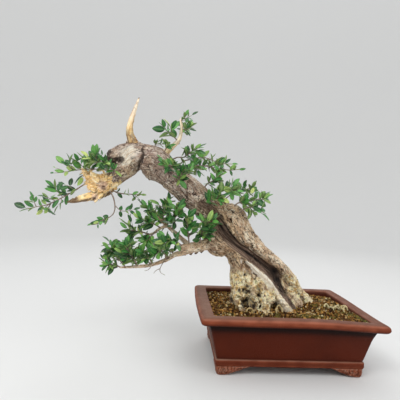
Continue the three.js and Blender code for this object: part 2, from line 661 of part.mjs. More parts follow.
const twigRadius = (share) => STEM.base + (STEM.tip - STEM.base) * share;

// A thin tube with a ring at every pair of leaves and, below them, at every few slots.
function twigSolid(twig) {
  const frames = framesOf(twig.path, STEM.slots);
  const leafy = pairSlots(twig);
  const bare = [];
  for (let slot = 0; slot < leafy[0] - 3; slot += STEM.spacing) bare.push(slot);
  const rings = [...bare, ...leafy, STEM.slots].map((slot) => {
    const radius = twigRadius(slot / STEM.slots);
    const { row, across, deep } = frames[slot];
    return Array.from({ length: STEM.sides }, (_, j) => {
      const angle = (2 * Math.PI * j) / STEM.sides;
      return vec(row)
        .addScaledVector(across, radius * Math.cos(angle))
        .addScaledVector(deep, radius * Math.sin(angle));
    });
  });
  return loft(rings);
}

// A stem's own path first, then its side twig, if it has one.
function twigsOf(stem) {
  if (!stem.side) return [stem];
  const start = along(stem.path, stem.side.at);
  return [stem, { ...stem.side, from: 0.3, path: [start, ...stem.side.path] }];
}

// Every leafy stem as one solid. A stem's leaves keep clear of the trunk, of the other stems' twigs
// and of the leaves of the stems before it.
function leafyStems() {
  const taken = LIMBS.flatMap((part) =>
    ballsAlong(part.rows, 3 * part.steps, "trunk", (row) => 0.5 * (row[3] + row[4])),
  );
  for (const stem of STEMS) {
    for (const twig of twigsOf(stem)) {
      taken.push(...ballsAlong(twig.path, 24, `${stem.name} twig`, (_, share) => twigRadius(share)));
    }
  }
  return STEMS.map((stem, number) => {
    const random = stream(STEM.seed * (number + 1));
    const around = taken.filter((ball) => ball.owner !== `${stem.name} twig`);
    const before = around.length;
    const leaves = twigsOf(stem).flatMap((twig) => leavesOf(twig, stem.name, around, random));
    taken.push(...around.slice(before));
    const solids = [...twigsOf(stem).map(twigSolid), ...leaves.map(bladeSolid)];
    return { name: stem.name, solid: joined(solids) };
  });
}

// ---- Soil -----------------------------------------------------------------------------------

function soilHeight(x, y) {
  const dx = (x - SOIL.moundX) / SOIL.spreadX;
  const dy = (y - SOIL.moundY) / SOIL.spreadY;
  return SOIL.edge + SOIL.mound * Math.exp(-dx * dx - dy * dy);
}

// A block with a gritty, mounded top, trimmed to the room inside the pot.
function soilSolid(trunkClearance, screens) {
  const random = stream(41);
  const points = [];
  const { columns, rows } = SOIL;
  for (let j = 0; j <= rows; j += 1) {
    for (let i = 0; i <= columns; i += 1) {
      const x = (i / columns - 0.5) * POT.length;
      const y = (j / rows - 0.5) * POT.depth;
      points.push(new THREE.Vector3(x, y, soilHeight(x, y) + SOIL.grit * (2 * random() - 1)));
    }
  }
  const top = points.length;
  const rim = [];
  for (let i = 0; i < columns; i += 1) rim.push(i);
  for (let j = 0; j < rows; j += 1) rim.push(columns + j * (columns + 1));
  for (let i = columns; i > 0; i -= 1) rim.push(rows * (columns + 1) + i);
  for (let j = rows; j > 0; j -= 1) rim.push(j * (columns + 1));
  rim.forEach((i) => points.push(new THREE.Vector3(points[i].x, points[i].y, POT.footHeight)));
  const centre = points.push(new THREE.Vector3(0, 0, POT.footHeight)) - 1;
  const triangles = [];
  for (let j = 0; j < rows; j += 1) {
    for (let i = 0; i < columns; i += 1) {
      const a = j * (columns + 1) + i;
      triangles.push([a, a + 1, a + columns + 2], [a, a + columns + 2, a + columns + 1]);
    }
  }
  rim.forEach((i, k) => {
    const after = (k + 1) % rim.length;
    triangles.push([rim[after], i, top + k], [rim[after], top + k, top + after]);
    triangles.push([centre, top + after, top + k]);
  });
  return solidFrom(points, triangles)
    .intersect(cavity(GAP, POT.height + 20))
    .subtract(joined([trunkClearance, ...screens]));
}

// ---- The object -----------------------------------------------------------------------------

const material = (color, roughness) => new THREE.MeshStandardMaterial({ color, roughness, metalness: 0 });
const MATERIALS = {
  clay: material(0x6b3a2c, 0.6),
  soil: material(0x5b4528, 0.95),
  screen: material(0x2a2d2a, 0.7),
  bark: material(0x8a7563, 0.9),
  foliage: material(0x35602c, 0.45),
};

function piece(name, solid, finish) {
  const mesh = new THREE.Mesh(geometryFrom(solid), finish);
  mesh.name = name;
  return mesh;
}

// The largest body of a solid. It drops the scrap that a cut leaves on the far side of a limb.
const mainBody = (solid) => solid.decompose().sort((a, b) => b.volume() - a.volume())[0];

const trunkClearance = trunkSolid(GAP);
const tree = new THREE.Group();
tree.add(piece("trunk", mainBody(trunkSolid(0)), MATERIALS.bark));
for (const stem of leafyStems()) {
  const grown = mainBody(stem.solid.subtract(trunkClearance));
  tree.add(piece(`leafy_stem_${stem.name}`, grown, MATERIALS.foliage));
}

const pottery = new THREE.Group();
pottery.add(piece("pot", potSolid(), MATERIALS.clay));
pottery.add(piece("drain_screen_left", screenSolid(-1), MATERIALS.screen));
pottery.add(piece("drain_screen_right", screenSolid(1), MATERIALS.screen));
const screenRoom = [screenSolid(-1, GAP), screenSolid(1, GAP)];
pottery.add(piece("soil", mainBody(soilSolid(trunkClearance, screenRoom)), MATERIALS.soil));

const bonsai = new THREE.Group();
bonsai.name = "olive_bonsai";
bonsai.add(tree, pottery);
const extent = new THREE.Box3().setFromObject(bonsai, true);
bonsai.position.set(-(extent.min.x + extent.max.x) / 2, -(extent.min.y + extent.max.y) / 2, -extent.min.z);

export default bonsai;
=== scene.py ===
"""An olive bonsai in its clay pot: the visible surfaces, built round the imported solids.

Shapes are worked out in millimetres about the point on the table under the pot's middle, with X
along the pot's long side, Y towards its back and Z up. surface() turns them into metres in the
object's own frame. A shape is a dictionary: "points", "quads" and "tris" are arrays, and every
other entry is a value for each point, which the materials read as an attribute. A seed only keeps
one use of noise apart from the others.
"""

import math

import bpy
import numpy as np
from mathutils import Matrix, Vector


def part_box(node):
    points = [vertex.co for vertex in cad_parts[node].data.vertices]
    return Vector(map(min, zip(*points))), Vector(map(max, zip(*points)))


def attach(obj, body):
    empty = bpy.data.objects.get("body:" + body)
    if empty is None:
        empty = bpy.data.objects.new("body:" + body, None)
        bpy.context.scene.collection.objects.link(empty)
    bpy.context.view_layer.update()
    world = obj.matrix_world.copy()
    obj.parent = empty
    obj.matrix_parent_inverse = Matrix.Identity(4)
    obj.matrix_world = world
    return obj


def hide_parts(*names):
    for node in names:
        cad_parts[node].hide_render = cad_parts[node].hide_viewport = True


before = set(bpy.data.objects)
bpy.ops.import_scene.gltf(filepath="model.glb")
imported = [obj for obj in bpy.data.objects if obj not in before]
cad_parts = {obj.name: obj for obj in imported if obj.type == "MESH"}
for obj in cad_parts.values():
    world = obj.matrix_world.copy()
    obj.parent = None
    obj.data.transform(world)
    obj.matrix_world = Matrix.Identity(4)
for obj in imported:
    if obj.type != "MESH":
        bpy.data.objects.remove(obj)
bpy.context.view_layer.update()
POT_LOW, POT_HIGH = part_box("pot")
# A millimetre in metres, and the point on the table under the pot's middle.
MM = 0.001
ORIGIN = np.array([(POT_LOW.x + POT_HIGH.x) / 2, (POT_LOW.y + POT_HIGH.y) / 2, POT_LOW.z])


# ---- Numbers that look random ---------------------------------------------------------------

# Large odd numbers that spread neighbouring places over all 32 bits.
PLACE_FACTORS = (374761393, 668265263, 2147483647)
SEED_FACTOR, FOLD_FACTOR, ALL_BITS = 974634777, 1274126177, 0xFFFFFFFF


def scatter(cell, seed):
    """A number from 0 to 1 for each whole-number lattice place: its three counts are multiplied by
    large numbers, added, and their bits folded together twice."""
    bits = sum(cell[..., k] * factor for k, factor in enumerate(PLACE_FACTORS))
    bits = (bits + seed * SEED_FACTOR) & ALL_BITS
    bits = ((bits ^ (bits >> 13)) * FOLD_FACTOR) & ALL_BITS
    return ((bits ^ (bits >> 16)) & 0xFFFF) / 0xFFFF


def noise(points, seed):
    """Smooth noise from -1 to 1: the eight lattice values round each point, blended along each
    axis with the weight 3t² - 2t³."""
    base = np.floor(points).astype(np.int64)
    part = points - base
    weight = part * part * (3 - 2 * part)
    total = np.zeros(len(points))
    for corner in np.ndindex(2, 2, 2):
        share = np.prod(np.where(corner, weight, 1 - weight), axis=1)
        total += share * scatter(base + np.array(corner), seed)
    return 2 * total - 1


def rough(points, seed, octaves=3):
    """Noise added to itself at twice the fineness and half the height, and so on."""
    return sum(noise(points * 2**k + 17.3 * k, seed + k) / 2**k for k in range(octaves))


def cells(points, seed):
    """For scattered seeds, one in each unit cell: the distances from each point to the nearest two,
    and a number from 0 to 1 that belongs to the nearest."""
    base = np.floor(points).astype(np.int64)
    first = np.full(len(points), 9.0)
    second = first.copy()
    own = np.zeros(len(points))
    for step in np.ndindex(3, 3, 3):
        cell = base + np.array(step) - 1
        spot = cell + np.stack([scatter(cell, seed + k) for k in range(3)], axis=1)
        gap = np.linalg.norm(points - spot, axis=1)
        nearer = gap < first
        second = np.where(nearer, first, np.minimum(second, gap))
        own = np.where(nearer, scatter(cell, seed + 3), own)
        first = np.where(nearer, gap, first)
    return first, second, own


def smooth(value, low, high):
    """0 below low, 1 above high, and 3t² - 2t³ between them."""
    t = np.clip((value - low) / (high - low), 0, 1)
    return t * t * (3 - 2 * t)


def blobs(points, rows):
    """The largest of several soft spots, each exp(-(distance / radius)²), for rows of
    x, y, z, radius."""
    value = np.zeros(len(points))
    for x, y, z, radius in rows:
        gap = np.sum((points - (x, y, z)) ** 2, axis=1)
        value = np.maximum(value, np.exp(-gap / radius**2))
    return value


# ---- Shapes ---------------------------------------------------------------------------------

def along(rows, t):
    """A smooth curve through rows of numbers, at each t from 0 to 1: the cubic that passes through
    every row with the slope of the line between its neighbours."""
    rows = np.asarray(rows, float)
    last = len(rows) - 1
    place = np.clip(np.atleast_1d(t), 0, 1) * last
    i = np.minimum(place.astype(int), last - 1)
    w = (place - i)[:, None]
    longer = np.vstack([2 * rows[0] - rows[1], rows, 2 * rows[-1] - rows[-2]])
    a, b, c, d = (longer[i + k] for k in range(4))
    cubic = (3 * b - a - 3 * c + d) * w**3
    return 0.5 * (2 * b + (c - a) * w + (2 * a - 5 * b + 4 * c - d) * w**2 + cubic)


def unit(vectors):
    """Vectors at their own direction and the length 1."""
    return vectors / np.linalg.norm(vectors, axis=-1, keepdims=True)


def frames_of(rows, steps):
    """Along a path: the rows themselves, the way forward, and two directions across it. "deep"
    starts as near Y as it can and is carried along without twisting."""
    rows = np.asarray(rows, float)
    t = np.arange(steps + 1) / steps
    nearby = 0.004
    forward = unit(along(rows[:, :3], t + nearby) - along(rows[:, :3], t - nearby))
    deep = np.empty_like(forward)
    last = np.array([1.0, 0, 0]) if abs(forward[0, 1]) > 0.8 else np.array([0, 1.0, 0])
    for i, ahead in enumerate(forward):
        last = unit(last - (last @ ahead) * ahead)
        deep[i] = last
    return along(rows, t), forward, deep, np.cross(deep, forward)


def grid_quads(rows, columns, closed=True):
    """The quads between each row of a grid and the next; closed joins each row's ends."""
    i = np.arange(rows - 1)[:, None] * columns
    j = np.arange(columns if closed else columns - 1)[None, :]
    after = (j + 1) % columns
    return np.stack([i + j, i + after, i + after + columns, i + j + columns], -1).reshape(-1, 4)


def fans(steps, sides):
    """The triangles that close a grid's first and last ring to two points that come after it."""
    j = np.arange(sides)
    after = (j + 1) % sides
    end = (steps - 1) * sides
    first = np.stack([np.full(sides, steps * sides), after, j], axis=1)
    last = np.stack([np.full(sides, steps * sides + 1), end + j, end + after], axis=1)
    return np.vstack([first, last])


def closed_tube(rings, **values):
    """Rings of points skinned one to the next, with a fan to the middle of the ring at each end.
    Each value is given for each ring."""
    steps, sides, _ = rings.shape
    shape = {
        "points": np.vstack([rings.reshape(-1, 3), rings[0].mean(0), rings[-1].mean(0)]),
        "quads": grid_quads(steps, sides),
        "tris": fans(steps, sides),
    }
    for name, value in values.items():
        shape[name] = np.concatenate([np.repeat(value, sides), value[:1], value[-1:]])
    return shape


def repeated_faces(count, steps, sides):
    """The faces of many closed tubes, whose points follow each other tube by tube, and how many
    points each tube has."""
    each = steps * sides + 2
    shift = (np.arange(count) * each)[:, None, None]
    return {
        "quads": (grid_quads(steps, sides)[None] + shift).reshape(-1, 4),
        "tris": (fans(steps, sides)[None] + shift).reshape(-1, 3),
    }, each


def tubes(centres, radius, sides, **values):
    """Many tapering tubes at once. Centres are given for each tube and step, radius too, and each
    value for each tube."""
    count, steps, _ = centres.shape
    forward = unit(np.gradient(centres, axis=1))
    aside = np.where(np.abs(forward[:, :1, 1:2]) > 0.8, (1.0, 0, 0), (0, 1.0, 0))
    deep = unit(aside - np.sum(aside * forward, axis=2, keepdims=True) * forward)
    across = np.cross(deep, forward)
    angle = np.linspace(0, 2 * np.pi, sides, endpoint=False)[:, None]
    ring = across[:, :, None] * np.cos(angle) + deep[:, :, None] * np.sin(angle)
    rings = centres[:, :, None] + radius[..., None, None] * ring
    points = np.concatenate([rings.reshape(count, -1, 3), centres[:, :1], centres[:, -1:]], axis=1)
    faces, each = repeated_faces(count, steps, sides)
    repeated = {name: np.repeat(value, each, axis=0) for name, value in values.items()}
    return {"points": points.reshape(-1, 3), **faces, **repeated}


def gathered(shapes):
    """Several shapes as one. A value that a shape doesn't have is 0 there."""
    starts = np.cumsum([0] + [len(s["points"]) for s in shapes])
    whole = {"points": np.vstack([s["points"] for s in shapes])}
    for faces in ("quads", "tris"):
        whole[faces] = np.vstack([s[faces] + start for s, start in zip(shapes, starts)])
    names = {name for s in shapes for name in s} - {"points", "quads", "tris"}
    for name in sorted(names):
        like = next(s[name] for s in shapes if name in s)
        zero = [np.zeros((len(s["points"]), *like.shape[1:])) for s in shapes]
        whole[name] = np.concatenate([s.get(name, z) for s, z in zip(shapes, zero)])
    return whole


def mesh_of(name, shape):
    """A mesh with the shape's points in metres and its faces, all shaded smooth."""
    mesh = bpy.data.meshes.new(name)
    quads, tris = shape["quads"], shape["tris"]
    corners = np.concatenate([quads.ravel(), tris.ravel()]).astype(np.int32)
    sizes = np.concatenate([np.full(len(quads), 4), np.full(len(tris), 3)])
    mesh.vertices.add(len(shape["points"]))
    mesh.vertices.foreach_set("co", (shape["points"] * MM + ORIGIN).astype(np.float32).ravel())
    mesh.loops.add(len(corners))
    mesh.loops.foreach_set("vertex_index", corners)
    mesh.polygons.add(len(sizes))
    mesh.polygons.foreach_set("loop_start", (np.cumsum(sizes) - sizes).astype(np.int32))
    mesh.polygons.foreach_set("use_smooth", np.ones(len(sizes), bool))
    mesh.update(calc_edges=True)
    return mesh


def linked(name, data):
    """A new object in the scene that holds this mesh, camera or light."""
    made = bpy.data.objects.new(name, data)
    bpy.context.scene.collection.objects.link(made)
    return made


def surface(name, coats, slot, *nodes):
    """A finished piece from (shape, material) pairs, standing for the CAD nodes that it names."""
    shapes = [shape for shape, _ in coats]
    whole = gathered(shapes)
    mesh = mesh_of(name, whole)
    for title, values in whole.items():
        if title in ("points", "quads", "tris"):
            continue
        kind, field = ("FLOAT", "value") if values.ndim == 1 else ("FLOAT_VECTOR", "vector")
        attribute = mesh.attributes.new(title, kind, "POINT")
        attribute.data.foreach_set(field, values.astype(np.float32).ravel())
    for _, material in coats:
        mesh.materials.append(material)
    which = [np.repeat(range(len(shapes)), [len(s[faces]) for s in shapes])
             for faces in ("quads", "tris")]
    mesh.polygons.foreach_set("material_index", np.concatenate(which).astype(np.int32))
    piece = linked(name, mesh)
    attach(piece, "root")
    if nodes:
        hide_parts(*nodes)
    return piece


def settled(shape, set_up):
    """The shape after the modifiers that set_up puts on it, with its values left behind. set_up may
    return helper objects, which are removed with it."""
    holder = linked("rough", mesh_of("rough", shape))
    helpers = set_up(holder) or []
    evaluated = holder.evaluated_get(bpy.context.evaluated_depsgraph_get())
    mesh = bpy.data.meshes.new_from_object(evaluated)
    points = np.empty(len(mesh.vertices) * 3, np.float32)
    mesh.vertices.foreach_get("co", points)
    sizes = np.empty(len(mesh.polygons), np.int32)
    mesh.polygons.foreach_get("loop_total", sizes)
    starts = np.cumsum(sizes) - sizes
    corners = np.empty(len(mesh.loops), np.int32)
    mesh.loops.foreach_get("vertex_index", corners)
    faces = {title: corners[starts[sizes == size][:, None] + np.arange(size)].astype(int)
             for title, size in (("quads", 4), ("tris", 3))}
    for thing in [holder, *helpers]:
        bpy.data.objects.remove(thing)
    return {"points": (points.reshape(-1, 3).astype(float) - ORIGIN) / MM, **faces}


def fused(shape, voxel, passes):
    """Overlapping closed shapes grown into one skin of small even quads, then eased passes
    times."""
    def set_up(holder):
        skin = holder.modifiers.new("skin", "REMESH")
        skin.mode = "VOXEL"
        skin.voxel_size = voxel * MM
        ease = holder.modifiers.new("ease", "SMOOTH")
        ease.factor = 0.5
        ease.iterations = passes
    return settled(shape, set_up)


def outward(shape):
    """Each point's direction outwards: the sum of its quads' area vectors, which are the cross
    products of their diagonals."""
    points, quads = shape["points"], shape["quads"]
    a, b, c, d = (points[quads[:, k]] for k in range(4))
    area = np.cross(c - a, d - b)
    total = [np.bincount(quads.ravel(), np.repeat(area[:, k], 4), len(points)) for k in range(3)]
    return unit(np.stack(total, axis=1) + 1e-12)


# ---- Shader tools ---------------------------------------------------------------------------

def tint(red, green, blue):
    """A screen colour, 0 to 255, as the linear colour that shaders use."""
    share = np.array([red, green, blue]) / 255
    linear = np.where(share <= 0.04045, share / 12.92, ((share + 0.055) / 1.055) ** 2.4)
    return (*linear.tolist(), 1.0)


def node(tree, kind, settings=None, **inputs):
    """A shader node. Each input is a plain value or another node's output, and is named with _ for
    each space, or by its place: i0, i1 and so on."""
    made = tree.nodes.new("ShaderNode" + kind)
    for name, value in (settings or {}).items():
        setattr(made, name, value)
    for name, value in inputs.items():
        key = int(name[1:]) if name[1:].isdigit() else name.replace("_", " ")
        if isinstance(value, bpy.types.NodeSocket):
            tree.links.new(value, made.inputs[key])
        else:
            made.inputs[key].default_value = value
    return made


def mixed(tree, share, first, second):
    """The first colour, giving way to the second one as share goes from 0 to 1."""
    return node(tree, "Mix", {"data_type": "RGBA"}, i0=share, i6=first, i7=second).outputs[2]


def maths(tree, operation, first, second=0.5, third=0.5):
    """Arithmetic on one, two or three numbers."""
    return node(tree, "Math", {"operation": operation}, i0=first, i1=second, i2=third).outputs[0]


def ranged(tree, value, low, high, start=0.0, end=1.0):
    """The value's place between low and high, eased, as a number from start to end."""
    made = node(tree, "MapRange", {"interpolation_type": "SMOOTHSTEP"}, Value=value, From_Min=low,
                From_Max=high, To_Min=start, To_Max=end)
    return made.outputs[0]


def ramp(tree, share, *stops):
    """A colour along stops of (place, red, green, blue), as screen colours."""
    made = node(tree, "ValToRGB", Fac=share)
    elements = made.color_ramp.elements
    while len(elements) < len(stops):
        elements.new(0.5)
    for element, (place, *colour) in zip(elements, stops):
        element.position = place
        element.color = tint(*colour)
    return made.outputs[0]


def grainy(tree, place, scale, detail=3.0, roughness=0.55):
    """Noise from 0 to 1, scale times as fine as its coordinates."""
    made = node(tree, "TexNoise", Vector=place, Scale=scale, Detail=detail, Roughness=roughness)
    return made.outputs[0]


def value_of(tree, name, output="Fac"):
    """The attribute that the piece's mesh carries under this name."""
    return node(tree, "Attribute", {"attribute_name": name}).outputs[output]


def stretched(tree, place, x, y, z):
    """Coordinates divided by a length on each axis, so that a pattern is longer that way."""
    scale = (1 / x, 1 / y, 1 / z)
    return node(tree, "VectorMath", {"operation": "MULTIPLY"}, i0=place, i1=scale).outputs[0]


def effect(name, inputs, outputs, build):
    """A shader node group with the named sockets, filled by build(tree, inputs)."""
    tree = bpy.data.node_groups.new(name, "ShaderNodeTree")
    for title, kind in inputs:
        tree.interface.new_socket(title, in_out="INPUT", socket_type="NodeSocket" + kind)
    for title, kind in outputs:
        tree.interface.new_socket(title, in_out="OUTPUT", socket_type="NodeSocket" + kind)
    source = tree.nodes.new("NodeGroupInput")
    sink = tree.nodes.new("NodeGroupOutput")
    for socket, result in zip(sink.inputs, build(tree, source.outputs)):
        tree.links.new(result, socket)
    return tree


def placed(tree, group, **inputs):
    """The outputs of a node group that is used in this tree."""
    return node(tree, "Group", {"node_tree": group}, **inputs).outputs


def finish_of(name, build, **constants):
    """A material: build(tree) gives the colour, the roughness, the bump's height and how far it
    stands out in metres, and constants are set on the shader itself."""
    material = bpy.data.materials.new(name)
    material.use_nodes = True
    tree = material.node_tree
    tree.nodes.clear()
    colour, roughness, height, distance = build(tree)
    bump = node(tree, "Bump", Height=height, Distance=distance)
    shader = node(tree, "BsdfPrincipled", Base_Color=colour, Roughness=roughness,
                  Normal=bump.outputs[0], **constants)
    node(tree, "OutputMaterial", Surface=shader.outputs[0])
    return material


def build_fibres(tree, inputs):
    """Fine streaks along a grain given in millimetres: noise that is long on the first axis."""
    broad = grainy(tree, stretched(tree, inputs["Grain"], 60.0, 5.0, 5.0), 1.0, 4.0, 0.6)
    narrow = grainy(tree, stretched(tree, inputs["Grain"], 34.0, 1.3, 1.3), 1.0, 3.0, 0.6)
    both = maths(tree, "MULTIPLY_ADD", narrow, 0.55, maths(tree, "MULTIPLY", broad, 0.45))
    return ranged(tree, both, 0.3, 0.7), both


def build_crust(tree, inputs):
    """Small scales and the cracks between them: the gap to the nearest cell border, with the
    coordinates bent by noise."""
    place = node(tree, "VectorMath", {"operation": "SCALE"}, i0=inputs["Place"],
                 Scale=inputs["Fineness"])
    wobble = node(tree, "TexNoise", Vector=place.outputs[0], Scale=1.3, Detail=2.0)
    moved = node(tree, "VectorMath", {"operation": "ADD"}, i0=place.outputs[0],
                 i1=wobble.outputs[1])
    border = node(tree, "TexVoronoi", {"feature": "DISTANCE_TO_EDGE"}, Vector=moved.outputs[0],
                  Scale=1.0)
    scale = ranged(tree, border.outputs[0], 0.02, 0.2)
    grit = grainy(tree, place.outputs[0], 5.0, 2.0)
    return scale, maths(tree, "MULTIPLY_ADD", grit, 0.5, scale)


def build_mottle(tree, inputs):
    """A slow blotch and a fine speckle over the object, both from 0 to 1."""
    slow = grainy(tree, inputs["Place"], inputs["Blotch"], 3.0)
    fine = grainy(tree, inputs["Place"], inputs["Speckle"], 2.0)
    return ranged(tree, slow, 0.32, 0.68), ranged(tree, fine, 0.35, 0.65)


FIBRES = effect("fibres", [("Grain", "Vector")],
                [("Streak", "Float"), ("Height", "Float")], build_fibres)
CRUST = effect("crust", [("Place", "Vector"), ("Fineness", "Float")],
               [("Scale", "Float"), ("Height", "Float")], build_crust)
MOTTLE = effect("mottle", [("Place", "Vector"), ("Blotch", "Float"), ("Speckle", "Float")],
                [("Blotch", "Float"), ("Speckle", "Float")], build_mottle)


def object_place(tree):
    """Coordinates in metres on the object itself."""
    return node(tree, "TexCoord").outputs["Object"]


# ---- Finishes -------------------------------------------------------------------------------

def bark_nodes(tree):
    """Pale scales over dark cracks, with bare wood, lichen and the hollow's dark wood laid over
    them, and painted shade blackening the hollow, the pits, the fold and the knob's underside.
    """
    place = object_place(tree)
    grain = value_of(tree, "grain", "Vector")
    mottle = placed(tree, MOTTLE, Place=place, Blotch=38.0, Speckle=420.0)
    crust = placed(tree, CRUST, Place=stretched(tree, grain, 2.2, 1.0, 1.0), Fineness=0.5)
    fibres = placed(tree, FIBRES, Grain=grain)
    plate = maths(tree, "MULTIPLY", value_of(tree, "plate"), 0.5)
    plate = maths(tree, "MULTIPLY_ADD", grainy(tree, place, 190.0, 3.0, 0.6), 0.62, plate)
    brown = ramp(tree, plate, (0.2, 128, 96, 70), (0.5, 190, 156, 118), (0.8, 232, 206, 168))
    tan = ramp(tree, plate, (0.2, 184, 144, 108), (0.5, 242, 208, 170), (0.8, 255, 240, 212))
    grey = ramp(tree, plate, (0.2, 132, 108, 98), (0.5, 194, 170, 158), (0.8, 238, 224, 212))
    tone = mixed(tree, value_of(tree, "pale"), brown, tan)
    tone = mixed(tree, value_of(tree, "aged"), tone, grey)
    blotch = ranged(tree, mottle["Blotch"], 0.3, 1.0, 0.0, 0.25)
    tone = mixed(tree, blotch, tone, tint(140, 108, 84))
    fleck = grainy(tree, stretched(tree, grain, 5.0, 2.4, 2.4), 1.0, 2.0)
    fleck = ranged(tree, fleck, 0.55, 0.63, 0.0, 0.78)
    crack = maths(tree, "MAXIMUM", value_of(tree, "fissure"), fleck)
    crack = maths(tree, "MAXIMUM", crack, ranged(tree, crust["Scale"], 0.0, 0.6, 0.22, 0.0))
    tone = mixed(tree, crack, tone, tint(46, 30, 22))
    pale = ramp(tree, fibres["Streak"], (0.0, 176, 142, 108), (0.25, 240, 220, 190),
                (0.6, 255, 250, 236))
    pale = mixed(tree, ranged(tree, fleck, 0.0, 1.0, 0.0, 0.45), pale, tint(178, 146, 100))
    tone = mixed(tree, value_of(tree, "bare"), tone, pale)
    crumbs = ranged(tree, grainy(tree, place, 260.0, 2.0), 0.36, 0.5)
    lichen = ramp(tree, grainy(tree, place, 120.0, 3.0), (0.3, 176, 134, 74),
                  (0.44, 236, 206, 142), (0.56, 255, 246, 214), (0.72, 236, 228, 150))
    scoured = maths(tree, "MULTIPLY", value_of(tree, "bare"), 0.6)
    lichen = mixed(tree, scoured, lichen, tint(250, 240, 220))
    tone = mixed(tree, maths(tree, "MULTIPLY", value_of(tree, "lichen"), crumbs), tone, lichen)
    dark = ramp(tree, fibres["Streak"], (0.0, 56, 40, 33), (0.45, 126, 100, 84),
                (1.0, 200, 174, 150))
    # Near black: painted shade, and the charred wood.
    dark = mixed(tree, value_of(tree, "sooted"), dark, tint(18, 12, 11))
    tone = mixed(tree, value_of(tree, "hollow"), tone, dark)
    height = maths(tree, "MULTIPLY", crust["Height"], 0.6)
    height = maths(tree, "MULTIPLY_ADD", fibres["Height"], 0.7, height)
    return tone, ranged(tree, mottle["Speckle"], 0.0, 1.0, 0.95, 0.72), height, 0.0009


def deadwood_nodes(tree):
    """Torn wood: pale and orange fibres, brown in the clefts, greyer where it has weathered, with
    painted shade on the standing spike's right side and under the low spike.
    """
    grain = value_of(tree, "grain", "Vector")
    fibres = placed(tree, FIBRES, Grain=grain)
    mottle = placed(tree, MOTTLE, Place=object_place(tree), Blotch=70.0, Speckle=500.0)
    tone = ramp(tree, fibres["Streak"], (0.0, 180, 114, 56), (0.25, 246, 190, 114),
                (0.55, 255, 228, 164), (1.0, 255, 248, 218))
    blotch = ranged(tree, mottle["Blotch"], 0.3, 1.0, 0.0, 0.5)
    tone = mixed(tree, blotch, tone, tint(250, 204, 128))
    pink = maths(tree, "MULTIPLY", value_of(tree, "pink"), 0.75)
    tone = mixed(tree, pink, tone, tint(228, 192, 174))
    pale = ramp(tree, fibres["Streak"], (0.0, 216, 176, 128), (0.5, 252, 232, 202),
                (1.0, 255, 246, 226))
    tone = mixed(tree, value_of(tree, "bare"), tone, pale)
    darker_grey_brown = ramp(tree, fibres["Streak"], (0.0, 48, 34, 26), (0.5, 104, 80, 62), (1.0, 160, 132, 104))
    # Weathered grey, and painted shade under the low spike.
    tone = mixed(tree, value_of(tree, "aged"), tone, darker_grey_brown)
    # The clefts, and painted shade on the standing spike's right side.
    tone = mixed(tree, value_of(tree, "fissure"), tone, tint(88, 44, 20))
    return tone, ranged(tree, mottle["Speckle"], 0.0, 1.0, 0.8, 0.6), fibres["Height"], 0.0012


def twig_nodes(tree):
    """Young bark: brown-grey with pale pores, and greener towards the tip."""
    place = object_place(tree)
    mottle = placed(tree, MOTTLE, Place=place, Blotch=60.0, Speckle=900.0)
    tone = ramp(tree, mottle["Speckle"], (0.0, 104, 88, 78), (0.6, 140, 120, 106),
                (1.0, 184, 166, 148))
    tip = ranged(tree, value_of(tree, "lengthwise"), 0.75, 1.0)
    tone = mixed(tree, tip, tone, tint(150, 158, 96))
    return tone, ranged(tree, mottle["Blotch"], 0.0, 1.0, 0.8, 0.6), mottle["Speckle"], 0.0003


def leaf_nodes(tree):
    """Leathery green above with a pale midrib and faint veins, and grey-green and dull below."""
    place = object_place(tree)
    across = maths(tree, "ABSOLUTE", value_of(tree, "across"))
    lengthwise = value_of(tree, "lengthwise")
    mottle = placed(tree, MOTTLE, Place=place, Blotch=110.0, Speckle=800.0)
    tone = ramp(tree, value_of(tree, "tone"), (0.0, 18, 62, 28), (0.3, 54, 132, 54),
                (0.6, 112, 184, 82), (1.0, 224, 238, 136))
    tone = mixed(tree, maths(tree, "MULTIPLY", mottle["Blotch"], 0.3), tone, tint(14, 52, 26))
    slant = maths(tree, "MULTIPLY_ADD", across, -0.22, lengthwise)
    vein = maths(tree, "ABSOLUTE", maths(tree, "SINE", maths(tree, "MULTIPLY", slant, 42.0)))
    vein = ranged(tree, vein, 0.0, 0.3, 0.22, 0.0)
    rib = ranged(tree, across, 0.05, 0.14, 0.75, 0.0)
    line = maths(tree, "MAXIMUM", rib, vein)
    tone = mixed(tree, line, tone, tint(120, 156, 92))
    below = mixed(tree, mottle["Speckle"], tint(104, 142, 72), tint(146, 174, 104))
    below = mixed(tree, rib, below, tint(176, 182, 132))
    under = ranged(tree, value_of(tree, "underside"), 0.04, 0.2)
    tone = mixed(tree, under, tone, below)
    roughness = ranged(tree, under, 0.0, 1.0, 0.3, 0.7)
    height = maths(tree, "SUBTRACT", maths(tree, "MULTIPLY", mottle["Speckle"], 0.25), line)
    return tone, roughness, height, 0.0004


def clay_nodes(tree):
    """Unglazed red-brown stoneware: fine grit, slow colour changes from the kiln, wiped edges and
    dust with painted highlights, and painted shade under the lip, at the base band and between the
    feet's lumps."""
    place = object_place(tree)
    mottle = placed(tree, MOTTLE, Place=place, Blotch=9.0, Speckle=900.0)
    tone = mixed(tree, mottle["Blotch"], tint(62, 18, 4), tint(80, 26, 7))
    tone = mixed(tree, maths(tree, "MULTIPLY", mottle["Speckle"], 0.2), tone, tint(110, 48, 26))
    # Wiped edges, with painted highlights on the lip's edge, the band's top and the feet's lumps.
    tone = mixed(tree, value_of(tree, "rubbed"), tone, tint(160, 84, 56))
    # Dust, with painted highlights.
    tone = mixed(tree, value_of(tree, "dusty"), tone, tint(146, 116, 100))
    # Painted shade, (16, 5, 3): under the lip, where the band meets the wall, between the feet's
    # lumps.
    tone = mixed(tree, value_of(tree, "sooted"), tone, tint(16, 5, 3))
    return tone, ranged(tree, mottle["Speckle"], 0.0, 1.0, 0.66, 0.5), mottle["Speckle"], 0.00022


